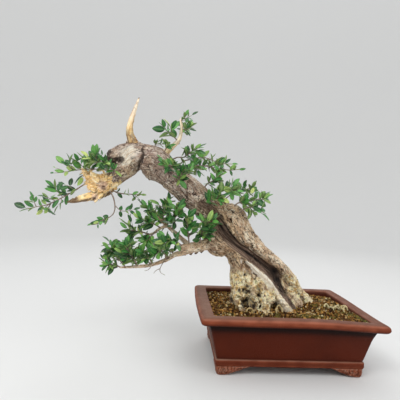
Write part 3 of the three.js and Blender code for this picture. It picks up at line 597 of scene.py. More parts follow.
def soil_nodes(tree):
    """Grains of fired clay and humus, each its own brown, with moss between them."""
    place = object_place(tree)
    mottle = placed(tree, MOTTLE, Place=place, Blotch=60.0, Speckle=1100.0)
    tone = ramp(tree, value_of(tree, "tone"), (0.0, 34, 18, 8), (0.35, 124, 80, 34),
                (0.7, 226, 168, 86), (1.0, 255, 242, 192))
    tone = mixed(tree, maths(tree, "MULTIPLY", mottle["Speckle"], 0.4), tone, tint(70, 50, 32))
    moss = mixed(tree, mottle["Speckle"], tint(60, 60, 20), tint(150, 142, 66))
    tone = mixed(tree, value_of(tree, "moss"), tone, moss)
    tone = mixed(tree, value_of(tree, "fissure"), tone, tint(22, 14, 8))
    return tone, ranged(tree, mottle["Speckle"], 0.0, 1.0, 0.98, 0.85), mottle["Speckle"], 0.0006


def screen_nodes(tree):
    """Moulded plastic mesh: dark green-grey, scuffed paler by the soil."""
    mottle = placed(tree, MOTTLE, Place=object_place(tree), Blotch=80.0, Speckle=1400.0)
    tone = mixed(tree, mottle["Blotch"], tint(34, 40, 36), tint(56, 62, 56))
    tone = mixed(tree, maths(tree, "MULTIPLY", mottle["Speckle"], 0.3), tone, tint(104, 96, 84))
    return tone, ranged(tree, mottle["Speckle"], 0.0, 1.0, 0.6, 0.42), mottle["Speckle"], 0.0002


BARK = finish_of("bark", bark_nodes)
DEADWOOD = finish_of("deadwood", deadwood_nodes)
TWIG = finish_of("twig", twig_nodes)
LEAF = finish_of("leaf", leaf_nodes, Specular_IOR_Level=0.6)
CLAY = finish_of("clay", clay_nodes, Specular_IOR_Level=0.12)
SOIL = finish_of("soil", soil_nodes, Specular_IOR_Level=0.15)
SCREEN = finish_of("screen", screen_nodes)

for side in ("left", "right"):
    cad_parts[f"drain_screen_{side}"].material_slots[0].material = SCREEN


# ---- The tree's limbs -----------------------------------------------------------------------

# Each limb is (rows, flutes, relief). Its rows are [x, y, z, radius, radius in depth], and its
# flutes stand out by the relief, as a share of the radius.
LOWER_TRUNK = {
    "heartwood": ([[10, 12, 84, 50, 40], [4, 12, 98, 47, 40], [-14, 12, 130, 33, 32],
        [-46, 10, 172, 21, 26], [-88, 8, 216, 20, 25], [-124, 6, 252, 22, 25],
        [-152, 2, 284, 24, 25]], 0, 0),
    "inner wood": ([[-52, 20, 200, 12, 14], [-22, 22, 176, 15, 15], [-2, 24, 152, 16, 16],
        [14, 24, 124, 18, 16], [24, 24, 96, 18, 16]], 0, 0),
    "bark strand": ([[-122, 4, 290, 12, 18], [-100, 4, 275, 22, 25], [-79, 4, 241, 20.5, 24],
        [-57, 4, 221.5, 16.5, 23], [-35, 5, 203, 13.5, 22], [2, 9, 175, 13, 21],
        [25, 14, 148, 15, 21], [39, 21, 122, 17, 21], [60, 30, 104, 16, 17], [86, 38, 88, 10, 12]],
        4, 0.08),
    "bare ridge": ([[-98, -8, 212, 6, 8], [-72, -12, 189, 7, 9], [-50, -16, 171, 8.5, 11],
        [-31, -20, 153, 9, 12], [-18, -23, 138, 10.5, 13], [-6, -26, 122, 12, 14],
        [6, -28, 106, 12.5, 13], [14, -28, 92, 11, 12]], 3, 0.1),
    "left buttress": ([[-158, 1, 250, 15, 20], [-130, 2, 228, 20, 24], [-97, 2, 205, 17, 25],
        [-83, 2, 178, 17, 25], [-79, 1, 152, 20, 26], [-76, 2, 128, 20, 26], [-76, 4, 108, 22, 28],
        [-78, 6, 90, 16, 20]], 4, 0.08),
    "collar": ([[-150, -6, 222, 9, 14], [-137, -8, 211, 12, 15], [-124, -8, 205, 10, 14],
        [-114, -6, 204, 7, 10]], 3, 0.15),
    "middle buttress": ([[-66, -6, 172, 9, 12], [-55, -14, 150, 13, 16], [-44, -20, 126, 17, 18],
        [-36, -25, 106, 18, 18], [-32, -28, 90, 12, 13]], 3, 0.12),
    "arching root": ([[-78, -12, 150, 9, 9], [-86, -25, 134, 9, 8], [-91, -34, 120, 7, 7],
        [-87, -42, 108, 6, 6], [-78, -50, 95, 5, 5]], 3, 0.14),
    "arch knob": ([[-90, -28, 128, 7, 7], [-83, -36, 126, 7.5, 7.5], [-74, -36, 122, 6, 6]],
        3, 0.15),
    "middle root": ([[-68, -20, 158, 8, 9], [-62, -31, 138, 9, 9], [-60, -38, 118, 8, 8],
        [-57, -45, 96, 6, 6]], 4, 0.16),
    "small root": ([[-54, -32, 130, 5, 5], [-55, -41, 118, 4.6, 4.6], [-52, -46, 104, 4, 4],
        [-49, -49, 94, 3, 3]], 3, 0.1),
    "third root": ([[-42, -26, 142, 9, 9], [-39, -37, 122, 9.5, 9.5], [-38, -46, 106, 8.5, 8],
        [-36, -53, 92, 6, 6]], 4, 0.16),
    "ridge flank": ([[-50, -22, 154, 8, 9], [-43, -29, 142, 9, 10], [-36, -34, 130, 10, 10.5],
        [-29, -38, 120, 10, 10], [-24, -39, 113, 6, 7]], 3, 0.1),
    "end knob": ([[-8, -33, 126, 9, 9], [1, -41, 115, 12, 12], [4, -44, 104, 11, 11],
        [5, -45, 92, 8, 8]], 4, 0.14),
    "right root": ([[12, -20, 110, 9, 9], [20, -31, 101, 7, 7], [26, -38, 92, 5, 5]], 0, 0),
    "back strand": ([[-78, 22, 196, 14, 14], [-62, 32, 160, 17, 17], [-50, 42, 126, 19, 18],
        [-44, 54, 106, 17, 15], [-38, 66, 90, 10, 10]], 3, 0.08),
    "back root": ([[-6, 22, 166, 13, 13], [10, 38, 132, 16, 15], [24, 52, 108, 14, 13],
        [36, 64, 90, 8, 8]], 3, 0.08),
}
UPPER_TRUNK = {
    "shoulder to crown": ([[-62, 10, 188, 14, 18], [-92, 6, 222, 17, 21], [-118, 2, 256, 22, 25],
        [-143, 0, 283, 27, 27], [-173, -4, 306, 26.5, 27], [-206, -8, 331, 25.5, 26],
        [-236, -10, 354, 25, 26], [-260, -10, 374, 29, 30], [-282, -9, 384, 24, 25],
        [-303, -8, 380, 26, 27], [-320, -6, 360, 20, 22], [-336, -5, 343, 16, 19],
        [-352, -6, 328, 12, 14]], 4, 0.05),
    "second bulge": ([[-286, -10, 372, 20, 22], [-276, -11, 372, 29, 28], [-263, -11, 371, 33, 31],
        [-249, -11, 364, 30, 29], [-236, -10, 353, 25, 26], [-224, -9, 344, 20, 22]], 3, 0.04),
    "spike collar": ([[-292, -8, 390, 18, 20], [-302, -8, 397, 16, 16], [-312, -5, 405, 10, 11],
        [-318, -6, 415, 4, 6]], 4, 0.14),
    "broken knob": ([[-292, -8, 386, 18, 19], [-308, -8, 391, 18, 18], [-324, -9, 388, 16.5, 16],
        [-338, -10, 383, 14.5, 14], [-349, -10, 379, 12, 12], [-353, -10, 378, 8, 8]], 3, 0.12),
    "old scar": ([[-126, 12, 286, 15, 15], [-118, 20, 300, 11, 11], [-113, 24, 306, 8, 8]], 0, 0),
    "lower branch": ([[-120, 0, 222, 16, 16], [-136, -4, 217, 14, 14], [-152, -7, 216, 11.5, 11.5],
        [-173, -10, 211, 10.5, 10.5], [-192, -13, 208, 10, 10], [-203, -15, 206, 9, 9]], 3, 0.06),
    "thin branch": ([[-184, -12, 206, 7.5, 7.5], [-200, -15, 199, 6, 6], [-214, -16, 195, 5, 5],
        [-230, -18, 185, 4.2, 4.2], [-258, -20, 174, 3.4, 3.4], [-285, -20, 170, 2.8, 2.8],
        [-306, -20, 168, 2.2, 2.2], [-318, -20, 167, 1.6, 1.6]], 0, 0),
    "upper branch": ([[-184, -11, 212, 6, 6], [-203, -6, 227, 4.4, 4.4], [-222, -2, 242, 4, 4],
        [-236, 0, 253, 3.4, 3.4], [-250, 0, 265, 2.6, 2.6], [-262, 0, 274, 1.7, 1.7]], 0, 0),
    "rag a": ([[-160, -9, 206, 4, 4], [-162, -10, 199, 1.6, 2.4]], 0, 0),
    "rag b": ([[-170, -10, 204, 4, 4], [-173, -11, 197.5, 1.4, 2.6]], 0, 0),
    "rag c": ([[-181, -12, 202, 4, 4], [-183, -12, 195.5, 1.5, 2.2]], 0, 0),
    "rag d": ([[-191, -13, 201, 4, 4], [-194, -14, 194.5, 1.2, 2.2]], 0, 0),
    "arching branch": ([[-231, -1, 250, 3.2, 3.2], [-246, -4, 244, 2.8, 2.8],
        [-258, -5, 234, 2.4, 2.4], [-272, -7, 230, 2, 2]], 0, 0),
}
TORN_WOOD = {
    "standing spike": ([[-296, -8, 386, 16, 15], [-303, -8, 400, 13.5, 13], [-309, -8, 414, 9.5, 9],
        [-315, -8, 431, 7, 6.6], [-313, -8, 453, 5.6, 5], [-307, -7, 477, 3.8, 3.2],
        [-302, -5, 494, 2.2, 1.8], [-300, -4, 503, 0.7, 0.7]], 3, 0.08),
    "second spike": ([[-254, -12, 372, 15, 13], [-247, -15, 386, 10, 9.5],
        [-238, -16, 397, 6.8, 6.8], [-226, -16, 409, 4.8, 4.8], [-216, -16, 422, 4, 4],
        [-213, -14, 442, 3.1, 3.1], [-216, -12, 463, 2, 2]], 0, 0),
    "torn crown": ([[-332, -5, 342, 12, 17], [-348, -6, 332, 15, 17], [-364, -7, 329, 14, 15],
        [-379, -8, 334, 10.5, 11.5], [-392, -8, 343, 6, 7.5], [-402, -8, 353, 2, 2.5]], 4, 0.16),
    "torn middle": ([[-342, -6, 330, 14, 14], [-356, -8, 320, 14, 15], [-370, -8, 316, 12, 12],
        [-383, -8, 320, 7, 7], [-393, -8, 327, 1.5, 1.5]], 3, 0.14),
    "lower spike": ([[-346, -6, 328, 13, 14], [-358, -7, 314, 12.5, 12], [-374, -9, 303, 9, 9],
        [-396, -10, 296, 7, 7.5], [-413, -10, 291, 4.8, 4.8], [-427, -10, 287, 1.2, 1.2]], 3, 0.14),
    "front splinter": ([[-358, -14, 310, 5, 5], [-366, -17, 299, 3, 3], [-371, -19, 289, 0.7, 0.7]],
        0, 0),
    "upper splinter": ([[-372, -13, 334, 6, 6], [-379, -19, 342, 3.6, 3.6],
        [-383, -22, 352, 0.7, 0.7]], 0, 0),
    "near splinter": ([[-352, -15, 334, 6, 6], [-355, -22, 343, 3.6, 3.6],
        [-359, -26, 351, 0.7, 0.7]], 0, 0),
    "back splinter": ([[-378, 2, 332, 6, 6], [-391, 6, 330, 3.2, 3.2], [-402, 9, 326, 0.7, 0.7]],
        0, 0),
}
# Lines on the trunk's front: rows of [x, z, half width, depth]. They are the hollow between the
# bark strand and the bare ridge, whose black is painted shade, the ridge itself, and the fold
# between the crown's bulges, which painted shade darkens.
HOLLOW = [
    [-168, 298, 6, 3], [-148, 282, 12, 8], [-131, 258, 12.5, 14], [-113, 236, 12, 16],
    [-92, 217, 10.5, 16], [-74, 205, 11, 16], [-50, 189, 11.5, 17], [-28, 173, 12, 20],
    [-13, 162, 14.5, 22], [-7, 148, 11.5, 20], [-2, 135, 8, 14], [8, 120, 6.5, 9], [22, 103, 5, 5],
]
RIDGE = [
    [-71, 186, 3.5, 0], [-56, 174, 5.5, 0], [-44, 164, 6.5, 0], [-32, 153, 8.5, 0],
    [-22, 141, 11, 0], [-10, 126, 13, 0], [2, 111, 14, 0],
]
CREASE = [
    [-283, 406, 2, 1], [-286, 394, 3, 2], [-284, 384, 4.5, 3], [-286, 373, 5, 3.5],
    [-290, 362, 4.5, 2], [-293, 350, 5, 0],
]
# Pits between the roots, darkened with painted shade: rows of [x, z, radius, depth].
PITS = [
    [-72, 113, 10.5, 18], [-63, 108, 9, 16], [-80, 108, 6, 12], [-50, 137, 4, 8],
    [-49, 127, 4.5, 12], [-48, 117, 4.5, 13], [-47, 108, 4, 12], [-23, 107, 4.5, 15],
    [-13, 109, 5.5, 15], [-97, 110, 6, 6], [-76, 163, 3, 4], [-70, 142, 3.5, 6], [-69, 133, 3.5, 7],
    [-87, 134, 3.5, 6], [-79, 133.5, 3.5, 6],
]
# Soft spots: rows of [x, y, z, radius]. Those with y 0 throughout mark the whole depth of the wood.
LICHEN = [
    [-82, -22, 132, 36], [-62, -30, 112, 28], [-40, -40, 110, 34], [-46, -26, 140, 24],
    [-14, -40, 112, 30], [24, -34, 108, 16], [38, 0, 132, 28], [20, -6, 152, 18], [60, 26, 106, 28],
    [-80, -30, 108, 24], [-50, 46, 120, 34], [20, 46, 116, 30],
]
# Painted shade: the blackest places in the hollow.
HOLLOW_SHADE = [[-9, 0, 167, 14], [-3, 0, 150, 12], [-2, 0, 137, 8]]
# The knob's dark end, and painted shade along its underside.
KNOB_END_AND_SHADE = [[-353, 0, 382, 13], [-345, 0, 373, 11], [-335, 0, 372, 9], [-325, 0, 374, 7]]
KNOB_SMOKE = [[-346, 0, 397, 20], [-330, 0, 402, 13]]
OCHRE = [[-313, 0, 362, 14], [-306, 0, 366, 10], [-314, 0, 350, 12]]
CHARRED = [[-356, -12, 380, 15], [-262, -8, 340, 12], [-276, -6, 342, 9]]
PALE_SCARS = [[-312, -30, 387, 20], [-316, -30, 374, 13], [-120, 20, 300, 8]]
PINK_WOOD = [[-358, -20, 322, 13], [-372, -18, 300, 8]]
GREY_WOOD = [
    [-427, -10, 287, 24], [-412, -12, 285, 17], [-300, -4, 503, 5], [-321, -8, 418, 10],
    [-323, -8, 430, 7], [-303, 4, 396, 14], [-322, -6, 408, 9], [-352, -12, 296, 8],
    [-356, -22, 318, 6],
]
# The torn wood's splinters point away from here.
TORN_ROOT = (-318, -6, 338)
# Only points in front of this Y take part in what is carved into the trunk's front.
FRONT_Y = 12
# How far apart a limb's rings are, how many points each has, how far its flutes turn along it, in
# radians, and its least radius.
LIMB_STEP, LIMB_SIDES, LIMB_TWIST, THINNEST = 2.4, 40, 3.5, 0.6


def limb(rows, flutes, relief):
    """A limb as a closed tube: ring points at the radius times
    1 + relief sin(flutes angle + twist), the twist growing along the limb."""
    length = np.sum(np.linalg.norm(np.diff(np.array(rows)[:, :3], axis=0), axis=1))
    steps = max(6, int(length / LIMB_STEP))
    row, _, deep, across = frames_of(rows, steps)
    angle = np.linspace(0, 2 * np.pi, LIMB_SIDES, endpoint=False)[None, :, None]
    twist = (LIMB_TWIST * np.arange(steps + 1) / steps)[:, None, None]
    flute = 1 + relief * np.sin(flutes * angle + twist)
    wide, thick = (np.maximum(row[:, k], THINNEST)[:, None, None] * flute for k in (3, 4))
    sideways = across[:, None] * wide * np.cos(angle)
    inwards = deep[:, None] * thick * np.sin(angle)
    return closed_tube(row[:, None, :3] + sideways + inwards)


def on_limbs(points, limbs):
    """For each point: the number of the limb whose skin it is nearest to, counted in radii; how far
    it is from being nearer to another one; and its grain, which is its way along that limb and its
    two offsets across the limb's axis, in millimetres."""
    best = np.full(len(points), np.inf)
    second = best.copy()
    which = np.zeros(len(points), int)
    grain = np.zeros((len(points), 3))
    steps = 36
    for number, (rows, _, _) in enumerate(limbs.values()):
        row, forward, deep, across = frames_of(rows, steps)
        way = np.concatenate([[0], np.cumsum(np.linalg.norm(np.diff(row[:, :3], axis=0), axis=1))])
        k = np.argmin(((points[:, None, :] - row[None, :, :3]) ** 2).sum(2), axis=1)
        offset = points - row[k, :3]
        ahead, wide, thick = (np.sum(offset * axes[k], axis=1) for axes in (forward, across, deep))
        beyond = np.maximum(np.abs(ahead) - way[-1] / steps, 0)
        radius, radius_deep = row[k, 3], row[k, 4]
        ratio = np.sqrt((wide / radius) ** 2 + (thick / radius_deep) ** 2 + (beyond / radius) ** 2)
        nearer = ratio < best
        second = np.where(nearer, best, np.minimum(second, ratio))
        which = np.where(nearer, number, which)
        own = np.stack([way[k] + ahead, wide, thick], axis=1) + 61.7 * number
        grain = np.where(nearer[:, None], own, grain)
        best = np.where(nearer, ratio, best)
    return which, second - best, grain


def on_line(points, facing, rows):
    """How far each point is inside a line drawn on the trunk's front: 1 on it, 0 at its half width
    and as far as the point faces away; its side of the line, from -1 (left) to 1; the depth; and
    its way along the line."""
    row = along(rows, np.linspace(0, 1, 120))
    flat = points[:, [0, 2]]
    k = np.argmin(((flat[:, None] - row[None, :, :2]) ** 2).sum(2), axis=1)
    offset = (flat - row[k, :2]) / row[k, 2][:, None]
    way = unit(np.gradient(row[:, :2], axis=0))[k]
    side = way[:, 0] * offset[:, 1] - way[:, 1] * offset[:, 0]
    share = np.clip(1 - np.sum(offset**2, axis=1), 0, 1) * smooth(-facing, -0.1, 0.35)
    share *= points[:, 1] < FRONT_Y
    lengths = np.concatenate([[0], np.cumsum(np.linalg.norm(np.diff(row[:, :2], axis=0), axis=1))])
    return share, side, row[k, 3], lengths[k]


def bark_relief(points, grain, size):
    """Plates between cracks: the height steps up from each cell border, cells being longer along
    the limb and their borders broken into dashes by a slower noise, less long cracks where another
    crosses 0, plus long swellings and grit. Also how dark each crack is, and each plate's
    number."""
    shift = np.stack([noise(points / 6, 13 + k) for k in range(3)], axis=1)
    bent = grain + 2.4 * shift
    first, second, own = cells(bent / (2.3 * size, size, size), 11)
    broken = smooth(noise(bent / (2.6 * size, 1.3 * size, 1.3 * size), 17), -0.3, 0.3)
    border = 1 - smooth(second - first, 0.02, 0.24)
    crack = 1 - smooth(np.abs(noise(bent / (46, 8, 8), 5)), 0.0, 0.11)
    crack *= smooth(noise(bent / (17, 9, 9), 18), -0.5, 0.1)
    grit = rough(grain / (4, 2.0, 2.0), 21, 2)
    swell = noise(grain / (60, 9, 9), 6) + 0.9 * noise(points / 17, 3)
    height = 1.1 * own - 1.3 * border * (0.3 + 0.7 * broken) - 1.7 * crack + 0.5 * grit + swell
    return height + 0.3, np.maximum(border * (0.15 + 0.85 * broken), crack), own


def sunken(points, facing):
    """How far each point of the trunk's front lies inside the hollow or a pit, how black the
    painted shade is there, and how deep. The painted shade is blackest in streaks down the hollow's
    middle and along its upper edge, and it fills the pits."""
    share, side, depth, way = on_line(points, facing, HOLLOW)
    sink = share**0.45 * depth
    inside = smooth(share, 0.0, 0.22)
    streak = noise(np.stack([way / 30, side * 4, way * 0], axis=1), 19)
    edge = smooth(side, 0.62, 0.82) * (1 - smooth(side, 0.9, 1.0))
    core = np.exp(-(((side - 0.15) / 0.3) ** 2)) + edge
    core = np.clip(core * (0.75 + 0.6 * streak), 0, 1) * smooth(way, 20, 60)
    black = np.maximum(core, blobs(points * (1, 0, 1), HOLLOW_SHADE)) * inside
    # Each pit is carved, given the hollow's dark wood and blackened: painted shade.
    for x, z, radius, deep in PITS:
        pit = np.exp(-((points[:, 0] - x) ** 2 + (points[:, 2] - z) ** 2) / radius**2)
        pit *= np.clip(0.85 + 0.9 * rough(points / 7, 46, 2), 0, 1.1)
        pit *= smooth(-facing, -0.2, 0.3) * (points[:, 1] < FRONT_Y)
        sink = np.maximum(sink, pit * deep)
        inside = np.maximum(inside, 0.9 * smooth(pit, 0.25, 0.75))
        black = np.maximum(black, smooth(pit, 0.15, 0.45))
    return inside, black, sink


def carved(shape):
    """The shape with its front pushed back into the hollow and the pits, but never right
    through."""
    points = shape["points"]
    sink = sunken(points, outward(shape)[:, 1])[2]
    points[:, 1] = np.minimum(points[:, 1] + sink, np.maximum(points[:, 1], 8))
    return shape


def trunk_shape(limbs, coarse, voxel, size):
    """Limbs grown together at the coarse voxel size, carved, evened out at the fine one if that is
    smaller, and dressed in bark with plates about size across. What a limb is called decides how
    rough and how pale its bark is."""
    shape = carved(fused(gathered([limb(*entry) for entry in limbs.values()]), coarse, 3))
    if coarse > voxel:
        shape = fused(shape, voxel, 2)
    points, facing = shape["points"], outward(shape)
    which, seam, grain = on_limbs(points, limbs)

    def on(*picked):
        """1 where a point belongs to one of the picked limbs, and 0 elsewhere."""
        numbers = [k for k, name in enumerate(limbs) if name in picked]
        return np.isin(which, numbers).astype(float)

    front = points * (1, 0, 1)
    patch = rough(points / 13, 41, 2)
    ragged = rough(points / 6, 44, 2)
    bulge = on("second bulge")
    height, fissure, plate = bark_relief(points, grain, size)
    seam = (1 - smooth(seam, 0.0, 0.06)) * (1 - on("shoulder to crown", "second bulge"))
    fissure = np.maximum(fissure, seam)

    # The hollow, whose fibres run along it and whose black streaks and pits are painted shade, and
    # the bare ridge, which is patchy near the soil.
    dark, black, _ = sunken(points, facing[:, 1])
    _, side, _, way = on_line(points, facing[:, 1], HOLLOW)
    in_hollow = np.stack([way, 12 * side, points[:, 1]], axis=1)
    grain = np.where((dark > 0.02)[:, None], in_hollow, grain)
    fibres = 1 - 2 * np.abs(noise(grain / (80, 3.2, 3.2), 8))
    bare = smooth(on_line(points, facing[:, 1], RIDGE)[0] + 0.35 * ragged, 0.15, 0.5)
    bare *= smooth(points[:, 2], 98, 110) * (1 - dark)
    plain = bare * smooth(points[:, 2], 144, 156)
    bare = np.maximum(plain, bare * smooth(rough(points / 7, 48, 2), -0.5, 0.3))

    # Lichen, in small lumps with pits between them.
    lump_first, lump_second, _ = cells(points / 5.5, 31)
    pit = 1 - smooth(lump_second - lump_first, 0.0, 0.2)
    lichen = smooth(blobs(points, LICHEN) * (0.75 + 0.5 * patch), 0.18, 0.5)
    lichen = lichen * (1 - dark) * (1 - plain)
    height = height * (1 - 0.6 * bare) + (2.6 * (0.6 - lump_first) - 1.2 * pit) * lichen

    # The smooth young branches, and the fold between the bulges.
    young = on("lower branch", "thin branch", "upper branch", "arching branch")
    young *= smooth(-points[:, 0], 128, 150)
    bent = points + 1.8 * noise(points / 5, 61)[:, None]
    crease, _, fold, _ = on_line(bent, facing[:, 1], CREASE)
    height = height * (1 - 0.72 * young) * (1 - dark) * (1 - 0.5 * bulge) - crease * fold
    height += dark * (1.4 * fibres + 0.7 * noise(grain / (9, 2, 2), 9))

    # What the scars look like: pale, charred, smoky or ochre, with painted shade under the knob and
    # in the fold between the bulges.
    pale = blobs(points, PALE_SCARS)
    ochre = blobs(front, OCHRE)
    smoky = blobs(front, KNOB_SMOKE) * (0.45 + 0.25 * patch)
    # The knob's dark end, and painted shade under it.
    knob = blobs(front, KNOB_END_AND_SHADE)
    knob = 1.3 * knob * (points[:, 1] < -4) * (1 + 0.5 * rough(points / 4, 62, 2))
    char_and_shade = smooth(np.maximum(blobs(points, CHARRED), knob) * (1 + 0.6 * patch), 0.35, 0.9)
    # Painted shade in the fold between the bulges.
    char_and_shade = np.maximum.reduce([char_and_shade, smooth(crease + 0.5 * ragged - 0.2, 0.1, 0.7),
                              0.8 * on("rag a", "rag b", "rag c", "rag d")])
    fissure = np.maximum(fissure * (1 - 0.8 * bare) * (1 - 0.75 * young),
                         0.75 * pit * lichen * (1 - 0.5 * bare))
    crown = smooth(-points[:, 0], 110, 210)
    # The term 0.8 * smooth(x, 10, 50) is painted light: it pales the trunk's right side, which the
    # key light leaves darker.
    paler = (0.15 + 0.75 * on("bark strand", "back root", "end knob") + 0.8 * young + 0.25 * crown
             + 0.3 * patch - 0.2 * bulge + 0.6 * ochre + 0.8 * smooth(points[:, 0], 10, 50))
    shape["points"] = points + facing * (height - 0.2)[:, None]
    return {
        **shape,
        "grain": grain,
        "plate": plate,
        "lichen": lichen,
        "fissure": np.clip(fissure, 0, 1),
        # The hollow's wood, and near black: painted shade in the hollow, the pits, the fold and
        # under the knob, with the charred wood.
        "hollow": np.maximum.reduce([dark, 0.9 * char_and_shade, smoky, (0.2 + 0.2 * patch) * bulge]),
        "sooted": np.maximum(black, 0.8 * char_and_shade),
        "bare": np.maximum(bare, 0.85 * smooth(pale * (1 + 0.5 * patch), 0.3, 0.9)),
        "aged": np.clip((0.7 + 0.3 * patch - 0.6 * young) * crown - 0.8 * ochre, 0, 1),
        "pale": np.clip(paler, 0, 1),
    }


def torn_shape(limbs, voxel):
    """Torn wood: limbs grown together, with sharp fibres along each of them. The two slender spikes
    are smoother, and bare towards their tips. The standing one has a mottled foot and painted shade
    on its right side, and the low one has painted shade underneath, in a dark grey-brown."""
    shape = fused(gathered([limb(*entry) for entry in limbs.values()]), voxel, 2)
    points, facing = shape["points"], outward(shape)
    x, z = points[:, 0], points[:, 2]
    which, _, grain = on_limbs(points, limbs)
    standing, second, low = (which == list(limbs).index(name + " spike")
                             for name in ("standing", "second", "lower"))
    slender = standing | second

    bent = grain + 2.0 * noise(points / 6, 54)[:, None]
    ridge = 1 - 2 * np.abs(noise(bent / (13, 1.9, 1.9), 51))
    own = cells(bent / (9, 2.4, 2.4), 55)[2]
    cleft = smooth(np.abs(noise(bent / (22, 6, 6), 52)), 0.0, 0.14)
    hole = smooth(rough(points / 7, 56, 2), 0.45, 0.75)
    grit = rough(points / 2.6, 53, 2)
    reach = np.where(slender, 0.25, 1.0) * np.where(low & (x < -374), 0.45, 1.0)
    height = reach * (1.2 * ridge + 2.0 * own + 1.5 * cleft + grit - 2.9 - 4.0 * hole)
    cleft = cleft * (1 - 0.7 * hole)

    bare_from = np.where(standing, 428, 374)
    bare = np.where(slender, smooth(z - bare_from, 0, 40), 0.5 * smooth(own, 0.6, 0.9))
    foot = standing * smooth(-z, -446, -414)
    mottled = foot * smooth(rough(points / 3, 57, 2), -0.3, 0.2)
    # Painted shade on the side that faces away from the key light.
    right_side = standing * smooth(facing[:, 0], 0.3, 0.8) * smooth(-z, -476, -452)
    grey = smooth(blobs(points, GREY_WOOD), 0.25, 0.8)
    # Painted shade under the low spike, in the weathered grey-brown.
    underneath = low * smooth(-facing[:, 2], -0.35, 0.5)
    clefts = (1 - cleft) * np.where(slender, 0.4, 0.65)
    shape["points"] = points + facing * height[:, None]
    return {
        **shape,
        "grain": grain,
        "bare": bare.astype(float),
        "fissure": np.maximum.reduce([clefts, 0.5 * foot, 0.45 * right_side]),
        "aged": 0.9 * np.maximum.reduce([grey, underneath, 0.8 * mottled]),
        "pink": smooth(blobs(points, PINK_WOOD), 0.3, 0.8),
    }


def splinter_shapes(torn, count, seed):
    """Broken fibres on the torn end: thin tapering slivers, rooted under its skin, that point away
    from the trunk and a little off the surface."""
    draw = np.random.default_rng(seed)
    points, facing = torn["points"], outward(torn)
    x, z = points[:, 0], points[:, 2]
    ready = np.flatnonzero((x < -343) & (z < 362) & ((x > -384) | (z > 309)))
    ready = ready[draw.permutation(len(ready))[:count]]
    out = facing[ready]
    away = unit(points[ready] - TORN_ROOT)
    way = unit(away + 0.12 * out + 0.26 * draw.normal(size=(count, 3)))
    length = draw.uniform(3, 9, count) * (1 + draw.random(count) ** 5)
    t = np.array([0, 0.35, 0.7, 1.0])
    curl = unit(draw.normal(size=(count, 3)) + out)
    start = points[ready] - 1.6 * way
    centres = start[:, None] + (way * length[:, None])[:, None] * t[:, None]
    centres += (curl * 0.16 * length[:, None])[:, None] * (t**2)[:, None]
    radius = draw.uniform(0.25, 0.7, count)[:, None] * np.array([1, 0.8, 0.45, 0.08])
    grain = np.stack([way @ (1, 0, 0) * 40, np.arange(count) * 3.1, np.arange(count) * 1.7], axis=1)
    return tubes(centres, radius, 5, grain=grain, bare=draw.random(count) ** 2,
                 fissure=0.5 * draw.random(count) ** 3, aged=0.4 * (draw.random(count) > 0.9),
                 pink=torn["pink"][ready])


FOOT = trunk_shape(LOWER_TRUNK, coarse=1.7, voxel=1.32, size=4.2)
surface("trunk_foot", [(FOOT, BARK)], "bark", "trunk")
TOP = trunk_shape(UPPER_TRUNK, coarse=1.1, voxel=1.1, size=3.5)
surface("trunk_top", [(TOP, BARK)], "bark", "trunk")
TORN = torn_shape(TORN_WOOD, voxel=0.75)
TORN = gathered([TORN, splinter_shapes(TORN, count=420, seed=3)])
surface("torn_wood", [(TORN, DEADWOOD)], "bark", "trunk")


# ---- Leafy stems ----------------------------------------------------------------------------

